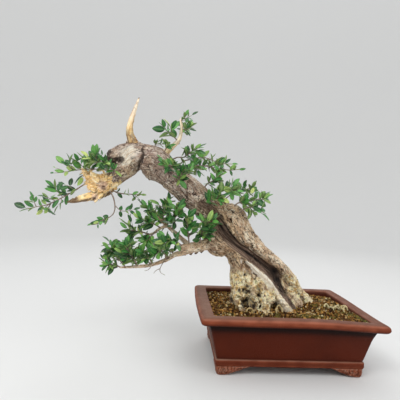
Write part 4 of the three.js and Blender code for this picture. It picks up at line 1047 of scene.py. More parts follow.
# Each stem is (name, share of the way where the leaves start, pairs, longest leaf, tries for more
# leaves, path).
STEMS = [
    ("crown_far_left", 0.42, 6, 25, 8, [[-342, 8, 338], [-374, 14, 337], [-396, 8, 327],
        [-418, 2, 310], [-439, -4, 295], [-463, -8, 281], [-485, -10, 275], [-501, -10, 270]]),
    ("crown_upper_left", 0.3, 3, 26, 8, [[-336, 6, 349], [-352, 17, 355], [-376, 20, 357],
        [-400, 12, 355], [-419, -2, 350], [-436, -10, 345]]),
    ("crown_tuft_left", 0.25, 3, 29, 40, [[-344, -6, 342], [-354, -10, 356], [-366, -12, 365],
        [-379, -12, 372], [-390, -14, 376]]),
    ("crown_tuft_front", 0.3, 3, 24, 22, [[-330, -12, 345], [-338, -24, 353], [-348, -30, 361],
        [-358, -34, 368]]),
    ("crown_tuft_back", 0.3, 3, 24, 26, [[-330, 6, 350], [-348, 26, 363], [-370, 42, 372],
        [-390, 52, 376]]),
    ("crown_under_right", 0.25, 3, 15, 4, [[-346, -6, 316], [-329, -4, 310], [-308, -2, 309],
        [-287, 2, 309]]),
    ("crown_hanging", 0.7, 2, 21, 3, [[-348, -12, 316], [-338, -14, 300], [-334, -14, 280],
        [-339, -12, 266], [-352, -12, 258], [-367, -12, 253]]),
    ("top_left", 0.35, 3, 28, 9, [[-216, -14, 412], [-223, -20, 421], [-233, -25, 428],
        [-243, -28, 435]]),
    ("top_tip", 0.45, 2, 17, 6, [[-215, -12, 453], [-213, -12, 460], [-207, -14, 467]]),
    ("top_right", 0.4, 3, 22, 6, [[-215, -13, 441], [-205, -18, 440], [-196, -22, 444]]),
    ("top_back", 0.35, 3, 25, 8, [[-214, -13, 432], [-209, 2, 442], [-206, 18, 453],
        [-204, 28, 464]]),
    ("knuckle_left", 0.45, 3, 15, 6, [[-262, -8, 390], [-264, -4, 407], [-260, 0, 416]]),
    ("knuckle_mid", 0.45, 3, 19, 10, [[-247, -22, 384], [-240, -30, 402], [-237, -34, 412]]),
    ("right_near", 0.4, 4, 25, 18, [[-238, -12, 372], [-221, -12, 385], [-205, -14, 387],
        [-194, -16, 396], [-185, -16, 406]]),
    ("right_long", 0.3, 5, 24, 12, [[-222, -4, 356], [-204, -4, 371], [-188, -2, 372],
        [-164, 2, 374], [-137, 6, 371], [-110, 8, 369], [-89, 8, 372]]),
    ("right_upper", 0.35, 5, 24, 12, [[-222, 8, 360], [-208, 16, 381], [-190, 20, 388],
        [-166, 22, 394], [-142, 24, 388], [-121, 26, 384], [-102, 26, 384]]),
    ("right_back", 0.35, 4, 26, 22, [[-214, 10, 352], [-190, 36, 372], [-164, 56, 380],
        [-140, 72, 386]]),
    ("front_upper", 0.35, 3, 25, 16, [[-236, -28, 355], [-233, -42, 358], [-228, -52, 362],
        [-224, -60, 367]]),
    ("front_lower", 0.35, 3, 26, 18, [[-214, -26, 334], [-213, -42, 342], [-209, -51, 350],
        [-204, -58, 358]]),
    ("mid_right", 0.35, 3, 24, 22, [[-168, -4, 322], [-155, -10, 338], [-142, -12, 345],
        [-132, -12, 354]]),
    ("mid_right_low", 0.3, 3, 26, 16, [[-142, -8, 298], [-130, -12, 322], [-112, -12, 328],
        [-98, -12, 326]]),
    ("shoulder_right", 0.3, 5, 26, 24, [[-104, -8, 286], [-95, -12, 301], [-75, -12, 306],
        [-55, -10, 311], [-42, -8, 317]]),
    ("shoulder_low", 0.4, 3, 24, 18, [[-98, -8, 276], [-78, -30, 294], [-63, -34, 292],
        [-50, -34, 284]]),
    ("trunk_front", 0.35, 4, 26, 30, [[-158, -22, 292], [-154, -38, 300], [-143, -46, 306],
        [-131, -50, 311]]),
    ("mid_back", 0.35, 4, 26, 26, [[-128, 16, 296], [-104, 38, 318], [-80, 56, 330],
        [-60, 70, 336]]),
    ("branch_top", 0.3, 3, 24, 30, [[-237, 0, 254], [-241, 2, 269], [-238, 4, 285],
        [-235, 6, 299]]),
    ("branch_top_left", 0.3, 3, 24, 16, [[-256, 0, 270], [-267, -6, 279], [-277, -8, 285]]),
    ("branch_mid", 0.25, 4, 27, 44, [[-222, -2, 242], [-219, -16, 258], [-215, -24, 274],
        [-212, -28, 288]]),
    ("branch_inner", 0.25, 4, 31, 50, [[-186, -13, 212], [-190, -26, 238], [-193, -32, 258],
        [-197, -34, 276]]),
    ("branch_inner_right", 0.3, 3, 28, 44, [[-164, -10, 212], [-166, -26, 234], [-161, -36, 250],
        [-156, -40, 262]]),
    ("arch_tip", 0.3, 3, 27, 20, [[-266, -6, 232], [-282, -9, 236], [-297, -10, 237],
        [-309, -10, 241]]),
    ("arch_up", 0.3, 3, 27, 30, [[-244, -4, 245], [-258, -12, 253], [-272, -18, 258],
        [-284, -20, 262]]),
    ("arch_down", 0.35, 3, 25, 20, [[-255, -5, 237], [-262, -18, 228], [-269, -26, 219]]),
    ("stub_front", 0.3, 3, 26, 40, [[-198, -14, 210], [-210, -30, 221], [-220, -38, 224],
        [-232, -42, 222]]),
    ("low_inner", 0.35, 3, 26, 50, [[-228, -18, 186], [-233, -32, 198], [-240, -40, 206],
        [-250, -46, 212]]),
    ("low_mid", 0.3, 3, 27, 60, [[-256, -20, 175], [-262, -26, 188], [-270, -30, 200],
        [-277, -32, 208]]),
    ("low_left", 0.3, 4, 27, 60, [[-283, -20, 170], [-291, -26, 185], [-300, -30, 200],
        [-309, -32, 211]]),
    ("low_tip", 0.2, 4, 20, 30, [[-315, -20, 167], [-326, -20, 171], [-336, -22, 172],
        [-345, -22, 170]]),
    ("low_up", 0.3, 4, 25, 60, [[-307, -20, 168], [-321, -8, 180], [-332, 0, 192], [-339, 4, 204]]),
    ("low_back", 0.3, 4, 27, 50, [[-212, -15, 196], [-228, 12, 200], [-250, 34, 206],
        [-274, 50, 210]]),
    ("branch_back", 0.3, 4, 27, 26, [[-221, -2, 242], [-234, 22, 252], [-252, 42, 260],
        [-270, 56, 266]]),
    ("low_far_back", 0.3, 4, 26, 50, [[-258, -19, 175], [-275, 6, 182], [-295, 26, 188],
        [-318, 42, 192]]),
]
# Shoots that stand at a known place: (start, pairs, longest leaf, path) for each stem.
SHOOTS = {
    "crown_hanging": [
        (0.3, 3, 18, [[-335, -14, 286], [-322, -18, 276], [-308, -20, 276], [-297, -20, 279]]),
        (0.5, 1, 15, [[-352, -12, 258], [-360, -16, 252], [-368, -16, 247], [-377, -14, 246]]),
    ],
    "crown_far_left": [
        (0.9, 0, 27, [[-488, -10, 274], [-496, -10, 272], [-503, -10, 272]]),
        (0.5, 2, 29, [[-437, -3, 296], [-446, -8, 306], [-452, -10, 314]]),
        (0.55, 1, 24, [[-418, 2, 310], [-424, -4, 317], [-434, -6, 321]]),
        (0.4, 2, 22, [[-450, -6, 288], [-458, -10, 292], [-468, -12, 296]]),
        (0.6, 1, 19, [[-462, -8, 281], [-467, -10, 275], [-470, -12, 271]]),
        (0.5, 1, 20, [[-440, -4, 294], [-438, -9, 287], [-442, -12, 281]]),
        (0.5, 2, 20, [[-484, -10, 275], [-487, -12, 283], [-489, -14, 289]]),
    ],
    "crown_upper_left": [
        (0.5, 2, 28, [[-402, 11, 355], [-408, 4, 362], [-412, -2, 368]]),
        (0.5, 1, 26, [[-420, -2, 350], [-428, -8, 357], [-434, -10, 361]]),
        (0.6, 1, 26, [[-398, 12, 355], [-400, 6, 346], [-402, 0, 338]]),
        (0.9, 0, 9, [[-436, -10, 345], [-445, -12, 343], [-454, -12, 342]]),
        (0.9, 0, 8, [[-438, -10, 346], [-444, -14, 350], [-452, -14, 352]]),
    ],
    "low_inner": [
        (1.0, 0, 0, [[-233, -22, 184], [-240, -26, 170], [-239, -28, 162], [-230, -28, 157]]),
        (1.0, 0, 0, [[-240, -27, 169], [-247, -30, 166], [-252, -30, 160]]),
    ],
    "low_mid": [
        (1.0, 0, 0, [[-256, -20, 175], [-262, -24, 166], [-270, -24, 163]]),
    ],
}
# Places along a twig where a leaf can stand; how far a leaf turns round its twig to find room; the
# side shoots tried for each try at more leaves; where the balls that stand for a leaf sit along it;
# the way to the light; the owner's number of all the trunk's wood; and what each stem's number is
# multiplied by for the seeds of its own leaves and of the rest.
SLOTS = 40
SWING = 0.42
SHOOT_SHARE = 0.24
BALL_SHARES = np.array([0.3, 0.52, 0.74, 0.96])
LIGHT = np.array([0, -0.55, 0.55])
WOOD = 900
FIRST_SEED, LATER_SEED = 7919, 104729


def stream(seed):
    """Repeatable numbers from 0 to 1: each state is the last times 1664525 plus 1013904223, cut
    to 32 bits."""
    state = seed & ALL_BITS
    while True:
        state = (state * 1664525 + 1013904223) & ALL_BITS
        yield state / 2**32


class Room:
    """Balls that stand for what fills the space already, each with an owner's number."""

    def __init__(self):
        self.balls = np.zeros((0, 5))

    def add(self, centres, radii, owner):
        """Takes up room with balls, at one radius or a radius each."""
        count = len(centres)
        rows = np.column_stack([centres, np.broadcast_to(radii, count), np.full(count, owner)])
        self.balls = np.vstack([self.balls, rows])

    def blocked(self, centres, radii, owner, spare, own_share=0.55):
        """Whether a ball comes closer to a taken one than their radii, times own_share for the same
        owner, plus spare. The owner's own stem, whose number is -1 - owner, doesn't count."""
        taken = self.balls[self.balls[:, 4] != -1 - owner]
        gap = np.linalg.norm(centres[:, None] - taken[None, :, :3], axis=2)
        share = np.where(taken[:, 4] == owner, own_share, 1.0)
        return bool(np.any(gap < (radii[:, None] + taken[None, :, 3]) * share + spare))


def leaf_at(frames, slot, turn, open_angle, length):
    """One leaf: where it starts, which way it points, lifted a little, and which way its upper
    face looks, which is along the twig and towards the light."""
    row, forward, deep, across = (f[slot] for f in frames)
    sideways = across * math.cos(turn) + deep * math.sin(turn)
    way = unit(forward * math.cos(open_angle) + sideways * math.sin(open_angle) + (0, 0, 0.12))
    face = forward * 0.8 + LIGHT
    face = unit(face - (face @ way) * way)
    return {"base": row[:3], "way": way, "face": face, "length": length}


def leaf_balls(leaf):
    """The balls that stand for a leaf: their middles and radii, the last one small."""
    centres = leaf["base"] + leaf["way"] * (BALL_SHARES * leaf["length"])[:, None]
    return centres, 0.25 * leaf["length"] * np.where(BALL_SHARES > 0.9, 0.4, 0.95)


def pair_slots(start, pairs):
    """The places of the pairs, evenly from start to the tip, and of the leaf at the tip."""
    first, last = start * SLOTS, SLOTS - 1
    places = [first + (last - first) * pair / pairs for pair in range(pairs)]
    return [*(math.floor(place + 0.001) for place in places), last]


def leaves_of(twig, owner, room, draws, spare=0.7):
    """The leaves of one twig, each 0.7 to 1.08 of the longest and 34 to 74 degrees off the twig,
    both less towards the tip. Each pair stands crosswise to the one before it, and a leaf with no
    free room is turned a little, up to five times, and then left out."""
    start, pairs, longest, path = twig
    frames = frames_of(path, SLOTS)
    leaves = []
    for pair, slot in enumerate(pair_slots(start, pairs)):
        share = pair / max(pairs, 1)
        terminal = pair == pairs
        turn = pair * (math.pi / 2) + 0.5 + 0.6 * next(draws)
        fresh = []
        for side in [0] if terminal else [0, math.pi]:
            size = longest * (0.7 + 0.38 * next(draws)) * (1 - 0.12 * share)
            lean = math.radians(54 + 40 * (next(draws) - 0.5)) * (1 - 0.35 * share)
            for attempt in range(6):
                swing = (1 if attempt % 2 else -1) * math.ceil(attempt / 2) * SWING
                opening = 0.12 + 0.2 * attempt if terminal else lean
                leaf = leaf_at(frames, slot, turn + side + swing, opening, size)
                if not room.blocked(*leaf_balls(leaf), owner, spare):
                    fresh.append({**leaf, "share": share})
                    break
        for leaf in fresh:
            room.add(*leaf_balls(leaf), owner)
        leaves += fresh
    return leaves


def more_leaves(twig, owner, room, draws, count):
    """Leaves of half to the full length between the pairs, 24 to 86 degrees off the twig, wherever
    one finds free room."""
    start, _, longest, path = twig
    frames = frames_of(path, SLOTS)
    leaves = []
    for _ in range(count):
        share = next(draws)
        slot = min(SLOTS - 1, int((start - 0.06 + (1.02 - start) * share) * SLOTS))
        turn = 2 * math.pi * next(draws)
        size = longest * (0.5 + 0.5 * next(draws))
        lean = math.radians(24 + 62 * next(draws))
        leaf = leaf_at(frames, max(slot, 2), turn, lean, size)
        if not room.blocked(*leaf_balls(leaf), owner, spare=0.0, own_share=0.3):
            room.add(*leaf_balls(leaf), owner)
            leaves.append({**leaf, "share": share})
    return leaves


def side_shoot(twig, draws):
    """A short shoot from somewhere on a twig, 8 to 21 long: it leaves sideways and bends up towards
    the light, with one or two pairs of leaves and one at its end."""
    start, _, longest, path = twig
    row, forward, deep, across = frames_of(path, SLOTS)
    slot = min(SLOTS - 1, int((start + (0.98 - start) * next(draws)) * SLOTS))
    turn = 2 * math.pi * next(draws)
    lean = math.radians(30 + 50 * next(draws))
    length = 8 + 13 * next(draws)
    sideways = across[slot] * math.cos(turn) + deep[slot] * math.sin(turn)
    way = unit(forward[slot] * math.cos(lean) + sideways * math.sin(lean))
    base = row[slot, :3]
    bent = unit(way + 0.45 * LIGHT)
    points = [base, base + 0.5 * length * way, base + 0.5 * length * (way + bent)]
    pairs = 1 + int(2 * next(draws))
    return 0.5, pairs, longest * (0.74 + 0.3 * next(draws)), [p.tolist() for p in points]


# A blade's stations along its length, and for each point round it its share of the half width and
# whether it is the keel below.
STATIONS = np.array([0.0, 0.1, 0.15, 0.26, 0.42, 0.58, 0.74, 0.87, 0.96])
RING_ACROSS = np.array([1, 0.5, 0, -0.5, -1, 0])
RING_KEEL = np.array([0, 0, 0, 0, 0, 1.0])


def blade_shapes(leaves, draws):
    """All the leaves of a stem. A leaf is a tube of six points round: two edges, three points above
    and a keel below. Its half width is 0.175 to 0.25 of its length times (4x(1 - x)) to the power
    0.74, x being the way along the blade after its stalk, and its face cups upwards across and
    curls back along its length, and waves a little."""
    count, steps, sides = len(leaves), len(STATIONS), len(RING_ACROSS)
    base, way, face, length, share = (np.array([leaf[name] for leaf in leaves])
                                      for name in ("base", "way", "face", "length", "share"))
    chance = np.array([[next(draws) for _ in range(9)] for _ in leaves])
    way = unit(way + 0.55 * (chance[:, 5:8] - 0.5))
    face = unit(face - np.sum(face * way, axis=1, keepdims=True) * way)
    side = np.cross(face, way)
    roll = (chance[:, :1] - 0.5) * 2.0
    turned = face * np.cos(roll) + side * np.sin(roll)
    face, side = turned, side * np.cos(roll) - face * np.sin(roll)

    def per_leaf(values):
        """Each leaf's value, to be used at all its stations and points."""
        return values[:, None, None]

    x = np.clip((STATIONS - 0.1) / 0.9, 0, 1) ** 0.88
    fullness = np.maximum((4 * x * (1 - x)) ** 0.74, 0.07)[None, :, None]
    half = per_leaf(length * (0.175 + 0.075 * chance[:, 1])) * fullness
    over = STATIONS[None, :, None]
    curl = length * (0.06 + 0.12 * chance[:, 3])
    lift = per_leaf(0.12 + 0.22 * chance[:, 2]) * half * np.abs(RING_ACROSS) ** 1.4
    lift = lift - per_leaf(curl) * over**2 - 0.5 * RING_KEEL * (0.5 + fullness)
    wave = 0.05 * np.sin(9 * over + 6 * per_leaf(chance[:, 4])) * half * np.abs(RING_ACROSS)
    spread = half * RING_ACROSS
    points = (per_leaf(base) + per_leaf(way) * (per_leaf(length) * over)[..., None]
              + per_leaf(side) * spread[..., None] + per_leaf(face) * (lift + wave)[..., None])
    tip = base + way * length[:, None] - face * curl[:, None]
    whole = np.concatenate([points.reshape(count, -1, 3), base[:, None], tip[:, None]], axis=1)
    faces, each = repeated_faces(count, steps, sides)

    def repeated(values, ends):
        """One leaf's values at its rings and its two ends, the same for every leaf."""
        ring = np.broadcast_to(values, (steps, sides)).ravel()
        return np.tile(np.concatenate([ring, ends]), count)

    tone = 0.02 + 0.8 * chance[:, 8] ** 1.6 + 0.42 * share**3 * chance[:, 1]
    return {
        "points": whole.reshape(-1, 3),
        **faces,
        "across": repeated(RING_ACROSS, [0, 0]),
        "lengthwise": repeated(STATIONS[:, None], [0, 1]),
        "underside": repeated(RING_KEEL, [0, 0]),
        "tone": np.repeat(np.clip(tone, 0, 1), each),
    }


def twig_shape(twig, thick, steps):
    """A tapering tube, a little swollen at each pair of leaves."""
    start, pairs, _, path = twig
    row, _, deep, across = frames_of(path, steps)
    t = np.arange(steps + 1) / steps
    joints = np.array(pair_slots(start, pairs)) / SLOTS
    swell = np.exp(-(((t[:, None] - joints[None]) * 45) ** 2)).sum(1)
    radius = thick * (1.0 - 0.6 * t) * (1 + 0.28 * swell) * (1 + 0.06 * np.sin(37 * t))
    angle = np.linspace(0, 2 * np.pi, 7, endpoint=False)[None, :, None]
    ring = across[:, None] * np.cos(angle) + deep[:, None] * np.sin(angle)
    return closed_tube(row[:, None] + radius[:, None, None] * ring, lengthwise=t)


def grow_foliage():
    """First the leaves that the solids have, stem by stem, then those on the shoots, and last the
    smaller ones between them. Returns how many leaves there are."""
    room = Room()
    for limbs in (LOWER_TRUNK, UPPER_TRUNK, TORN_WOOD):
        for rows, _, _ in limbs.values():
            balls = along(rows, np.linspace(0, 1, 30))
            room.add(balls[:, :3], balls[:, 3:5].mean(1), WOOD)
    t = np.linspace(0, 1, 25)
    for number, (*_, path) in enumerate(STEMS):
        room.add(along(path, t), 1.9 - t, -1 - number)
    stems = [(start, pairs, longest, path) for _, start, pairs, longest, _, path in STEMS]
    grown = [leaves_of(stem, number, room, stream(FIRST_SEED * (number + 1)))
             for number, stem in enumerate(stems)]
    for number, (name, _, _, _, tries, _) in enumerate(STEMS):
        stem, leaves = stems[number], grown[number]
        draws = stream(LATER_SEED * (number + 1))
        shoots = list(SHOOTS.get(name, []))
        for shoot in shoots:
            _, pairs, longest, _ = shoot
            if pairs or longest:
                leaves += leaves_of(shoot, number, room, draws, spare=0.0)
        for _ in range(round(SHOOT_SHARE * tries)):
            shoot = side_shoot(stem, draws)
            spine = along(shoot[3], np.linspace(0.3, 1, 4))
            if not room.blocked(spine, np.full(4, 0.8), number, spare=0.3, own_share=0.3):
                fresh = leaves_of(shoot, number, room, draws, spare=0.0)
                if fresh:
                    leaves += fresh
                    shoots.append(shoot)
        leaves += more_leaves(stem, number, room, draws, round(0.6 * tries))
        wood = [twig_shape(stem, thick=1.55, steps=60),
                *[twig_shape(shoot, thick=0.85, steps=12) for shoot in shoots]]
        surface(f"sprig_{name}", [(gathered(wood), TWIG), (blade_shapes(leaves, draws), LEAF)],
                "foliage", f"leafy_stem_{name}")
    return sum(len(leaves) for leaves in grown)


print("leaves", grow_foliage())


# ---- Pot ------------------------------------------------------------------------------------

# Half the lip's size over all, the radius of its corners as they are measured from inside, the
# drain holes' places and radius, and how far the feet stand in from the lip's edge.
HALF_X, HALF_Y = 164.0, 123.0
LIP_CORNER = 6
DRAIN_X, DRAIN_RADIUS = 65.0, 11.0
FOOT_INSET = 31.0
# The outside, the lip and the inside: rows of (inset from the lip's edge, height, corner radius,
# how much wiping and painted highlight pale it, how much dust and painted highlight lie on it).
# The rows at the lip's upper edge and at the base band's top carry painted highlights.
POT_OUTLINE = [
    (34, 16.2, 4, 0, 0), (31.5, 16.4, 5, 0, 0), (30.5, 17.6, 5, .5, 0), (30.1, 20, 5, .2, 0),
    (30.1, 24, 5, .22, 0), (30.3, 26, 5, .5, .1), (31.0, 27.2, 5, 1, .8), (32.0, 27.9, 5, .8, .6),
    (32.1, 29, 5, 0, 0), (30.6, 34, 5, 0, 0), (26.6, 50, 5, 0, 0), (22.2, 68, 5, 0, 0),
    (18.2, 82, 5, 0, 0), (16.6, 87, 5, 0, 0), (14.6, 90.6, 5, 0, 0), (11, 92.4, 5, 0, 0),
    (6.5, 92.9, 6, 0, 0), (3.4, 93.5, 7, 0, 0), (1.2, 95.4, 7, .15, 0), (0.1, 97.8, 7, .35, 0),
    (0.0, 99.5, 7, .5, 0), (0.5, 102, 7, .55, .05), (2.0, 104.4, 7, 1, .35),
    (4.4, 105.6, 7, .6, .4), (7.0, 106.0, 7, .3, .45), (13, 106.2, 7, .25, .62),
    (19, 106.0, 7, .25, .62), (22.2, 105.5, 7, .5, .6), (23.6, 104.0, 7, .3, .4),
    (24, 101, 7, 0, .2), (24.6, 92, 7, 0, 0), (34, 60, 7, 0, 0), (41.6, 30, 7, 0, 0),
    (43, 27.3, 7, 0, 0), (47, 27, 7, 0, 0),
]


def rounded_ring(half_x, half_y, radius):
    """The XY points round a rectangle with round corners: 9 on each corner, 34 on each side."""
    arcs = []
    for quarter, (sx, sy) in enumerate([(1, 1), (-1, 1), (-1, -1), (1, -1)]):
        angle = (quarter + np.linspace(0, 1, 9)) * np.pi / 2
        arcs.append(np.stack([sx * (half_x - radius) + radius * np.cos(angle),
                              sy * (half_y - radius) + radius * np.sin(angle)], axis=1))
    share = np.linspace(0, 1, 34 + 2)[1:-1, None]
    sides = [arc[-1] * (1 - share) + after[0] * share
             for arc, after in zip(arcs, arcs[1:] + arcs[:1])]
    return np.vstack([part for pair in zip(arcs, sides) for part in pair])


def pot_rows():
    """The outline from the middle of the underside round the lip to the middle of the floor."""
    rows = np.array([(100, 16.2, 4, 0, 0), (60, 16.2, 4, 0, 0), *POT_OUTLINE,
                     (60, 27, 7, 0, 0), (100, 27, 7, 0, 0)])
    return along(rows, np.linspace(0, 1, 2 * len(rows) - 1))


def pot_shell():
    """Rings of one rounded rectangle after another."""
    rings = []
    for inset, height, radius, _, _ in pot_rows():
        ring = rounded_ring(HALF_X - inset, HALF_Y - inset, max(radius, 3))
        rings.append(np.column_stack([ring, np.full(len(ring), height)]))
    return closed_tube(np.stack(rings))


def bored(holder):
    """Bores the two drain holes through the floor, and cuts the wide faces that are left."""
    drills = []
    angle = np.linspace(0, 2 * np.pi, 48, endpoint=False)
    for x in (-DRAIN_X, DRAIN_X):
        ring = np.column_stack([x + DRAIN_RADIUS * np.cos(angle), DRAIN_RADIUS * np.sin(angle),
                                np.zeros(len(angle))])
        tube = closed_tube(np.stack([ring + (0, 0, 5), ring + (0, 0, 40)]))
        drills.append(linked("drill", mesh_of("drill", tube)))
        cut = holder.modifiers.new("bore", "BOOLEAN")
        cut.operation, cut.solver, cut.object = "DIFFERENCE", "EXACT", drills[-1]
    holder.modifiers.new("cut", "TRIANGULATE").min_vertices = 5
    return drills


def clay_body():
    """The bored shell with the slight waver of clay pressed by hand. Each point takes its wiping
    and painted highlight, and its dust and painted highlight, from the nearest row of the outline,
    and painted shade darkens the cove under the lip and a line where the base band meets the wall.
    The lip has warped in the kiln: it stands 2.4 higher at the back and 5 lower at the front right
    corner, and swells by 3 on the left."""
    shape = settled(pot_shell(), bored)
    points = shape["points"]
    x, y, z = points.T
    edge = np.abs(points[:, :2]) - (HALF_X - LIP_CORNER, HALF_Y - LIP_CORNER)
    past = np.linalg.norm(np.maximum(edge, 0), axis=1)
    inset = LIP_CORNER - past - np.minimum(edge.max(axis=1), 0)
    rows = pot_rows()
    outer_rows = 0.62 * len(rows)
    gap = (inset[:, None] - rows[None, :, 0]) ** 2 + (points[:, 2:] - rows[None, :, 1]) ** 2
    nearest = np.argmin(gap, axis=1)
    patch = smooth(rough(points / 16, 74, 2), -0.5, 0.6)
    fine = smooth(rough(points / 5, 75, 2), -0.6, 0.6)
    # Wiping with painted highlights, and dust with painted highlights, vary in patches round the
    # pot.
    wiping_and_highlight = 0.45 + 0.4 * patch + 0.3 * fine
    shape["rubbed"] = np.clip(rows[nearest, 3] * wiping_and_highlight, 0, 1)
    dust_and_highlight_share = 0.45 + 0.45 * smooth(-x, 60, 140) + 0.25 * patch + 0.15 * fine
    shape["dusty"] = np.clip(rows[nearest, 4] * dust_and_highlight_share, 0, 1)
    outer = nearest < outer_rows
    # Painted shade: the cove under the lip and a line where the base band meets the wall.
    cove = smooth(z, 73, 85) * (1 - smooth(z, 92.8, 95.8))
    foot = smooth(z, 26, 28.2) * (1 - smooth(z, 29, 33))
    shape["sooted"] = outer * np.maximum(0.9 * cove, 0.35 * foot)
    sway = np.stack([0.35 * noise(points / 60, 71), 0.35 * noise(points / 60, 72),
                     0.3 * noise(points / 75, 73)], axis=1)
    lift = 2.4 * smooth(y, -30, 115) - 5.0 * smooth(x, 20, 180) * smooth(-y, -60, 110)
    lift *= smooth(z, 66, 94)
    swell = 3.0 * np.clip(1 - (y / 118) ** 2, 0, 1) * smooth(-x, 143, 153) * smooth(z, 84, 96)
    warp = np.stack([-swell, np.zeros(len(points)), lift], axis=1)
    shape["points"] = points + sway * smooth(z, 17, 40)[:, None] + warp
    return shape


# A foot's section: rows of (share of the way from its outer face to its inner one, share of its
# height), down the outer face, under, and up the inner one.
FOOT_SECTION = [
    (0.1, 1.0), (0.02, 0.85), (0.0, 0.7), (0.0, 0.55), (0.01, 0.42), (0.04, 0.28), (0.09, 0.14),
    (0.17, 0.04), (0.28, 0.0), (0.5, 0.0), (0.8, 0.0), (0.93, 0.08), (1.0, 0.3), (1.0, 1.0),
]


def foot_shape(sign_x, sign_y):
    """A cloud foot: a bracket that follows the base's corner, bent at a radius of 7, and reaches 60
    along X and 48 along Y. It is 17 high and 15 thick. From 17 outwards its lower edge rises as the
    power 1.3 of the way, and its face is lumpy, as a worn scroll is."""
    reach_x, reach_y, flat, thick, top, bend = 60.0, 48.0, 17.0, 15.0, 17.0, 7.0
    way = np.concatenate([np.linspace(-reach_y, -bend, 42), np.linspace(-bend + 1, bend - 1, 13),
                          np.linspace(bend, reach_x, 52)])
    reach = np.where(way < 0, reach_y, reach_x)
    t = np.clip((np.abs(way) - flat) / (reach - flat), 0, 1)
    rise = (top - 1.0) * t**1.3
    turn = np.pi / 4 * (1 + np.clip(way / bend, -1, 1))
    outer = np.stack([np.where(way > bend, way, bend * (1 - np.cos(turn))),
                      np.where(way < -bend, -way, bend * (1 - np.sin(turn)))], axis=1)
    inner = np.maximum(outer, thick)
    section = np.array(FOOT_SECTION)
    across = outer[:, None] * (1 - section[None, :, :1]) + inner[:, None] * section[None, :, :1]
    z = rise[:, None] + (top - rise[:, None]) * section[None, :, 1]
    x, y = across[..., 0] - (HALF_X - FOOT_INSET), across[..., 1] - (HALF_Y - FOOT_INSET)
    rings = np.stack([x * -sign_x, y * -sign_y, z], axis=-1)
    if sign_x * sign_y < 0:
        rings = rings[:, ::-1]
    shape = closed_tube(rings[:, ::-1])
    points = shape["points"]
    first, second, _ = cells(points / (4.6, 4.6, 3.2), 76)
    crumb = 0.9 - 1.3 * first + 0.4 * noise(points / 1.6, 77)
    clear = smooth(points[:, 2], 0.0, 2.0) * (1 - smooth(points[:, 2], 13, 16))
    face_from = np.array([HALF_X, HALF_Y]) - FOOT_INSET - 5
    out = np.zeros_like(points)
    out[:, :2] = np.sign(points[:, :2]) * (np.abs(points[:, :2]) > face_from)
    shape["points"] = points + out * ((1.6 * crumb - 1.0) * clear)[:, None]
    # The feet's pink clay, paler with painted highlights on the lumps, and painted shade in the
    # gaps between them.
    shape["rubbed"] = np.clip(0.8 + 0.4 * crumb, 0, 1)
    shape["dusty"] = np.clip(0.1 + 1.0 * crumb, 0, 1)
    shape["sooted"] = (1 - smooth(second - first, 0.0, 0.25)) * 0.75 * clear
    return shape


CLAY_BODY = gathered([clay_body(), *[foot_shape(x, y) for x in (-1, 1) for y in (-1, 1)]])
clay_pot = surface("clay_pot", [(CLAY_BODY, CLAY)], "clay", "pot")
clay_pot.data.set_sharp_from_angle(angle=math.radians(55))


# ---- Soil -----------------------------------------------------------------------------------

# Half the soil's size, its corners' radius, the height of its underside and its grid's columns and
# rows; how far the loose grains lie from the middle; and how thick the dead roots are.
SOIL_HALF_X, SOIL_HALF_Y, SOIL_CORNER, SOIL_FLOOR = 139.7, 98.7, 7.0, 29.2
SOIL_COLUMNS, SOIL_ROWS = 198, 140
GRAINS_HALF_X, GRAINS_HALF_Y = 137, 96
LOOP_RADIUS = 1.45


def soil_height(x, y):
    """98 at the wall, and 8 more round the trunk, falling off as exp(-distance²)."""
    return 98 + 8 * np.exp(-(((x + 12) / 92) ** 2) - ((y - 6) / 52) ** 2)


def corner_bent(values, half, pull):
    """Coordinates past the start of a round corner, drawn back towards it."""
    start = half - SOIL_CORNER
    bent = np.sign(values) * (start + (np.abs(values) - start) * pull)
    return np.where(np.abs(values) > start, bent, values)


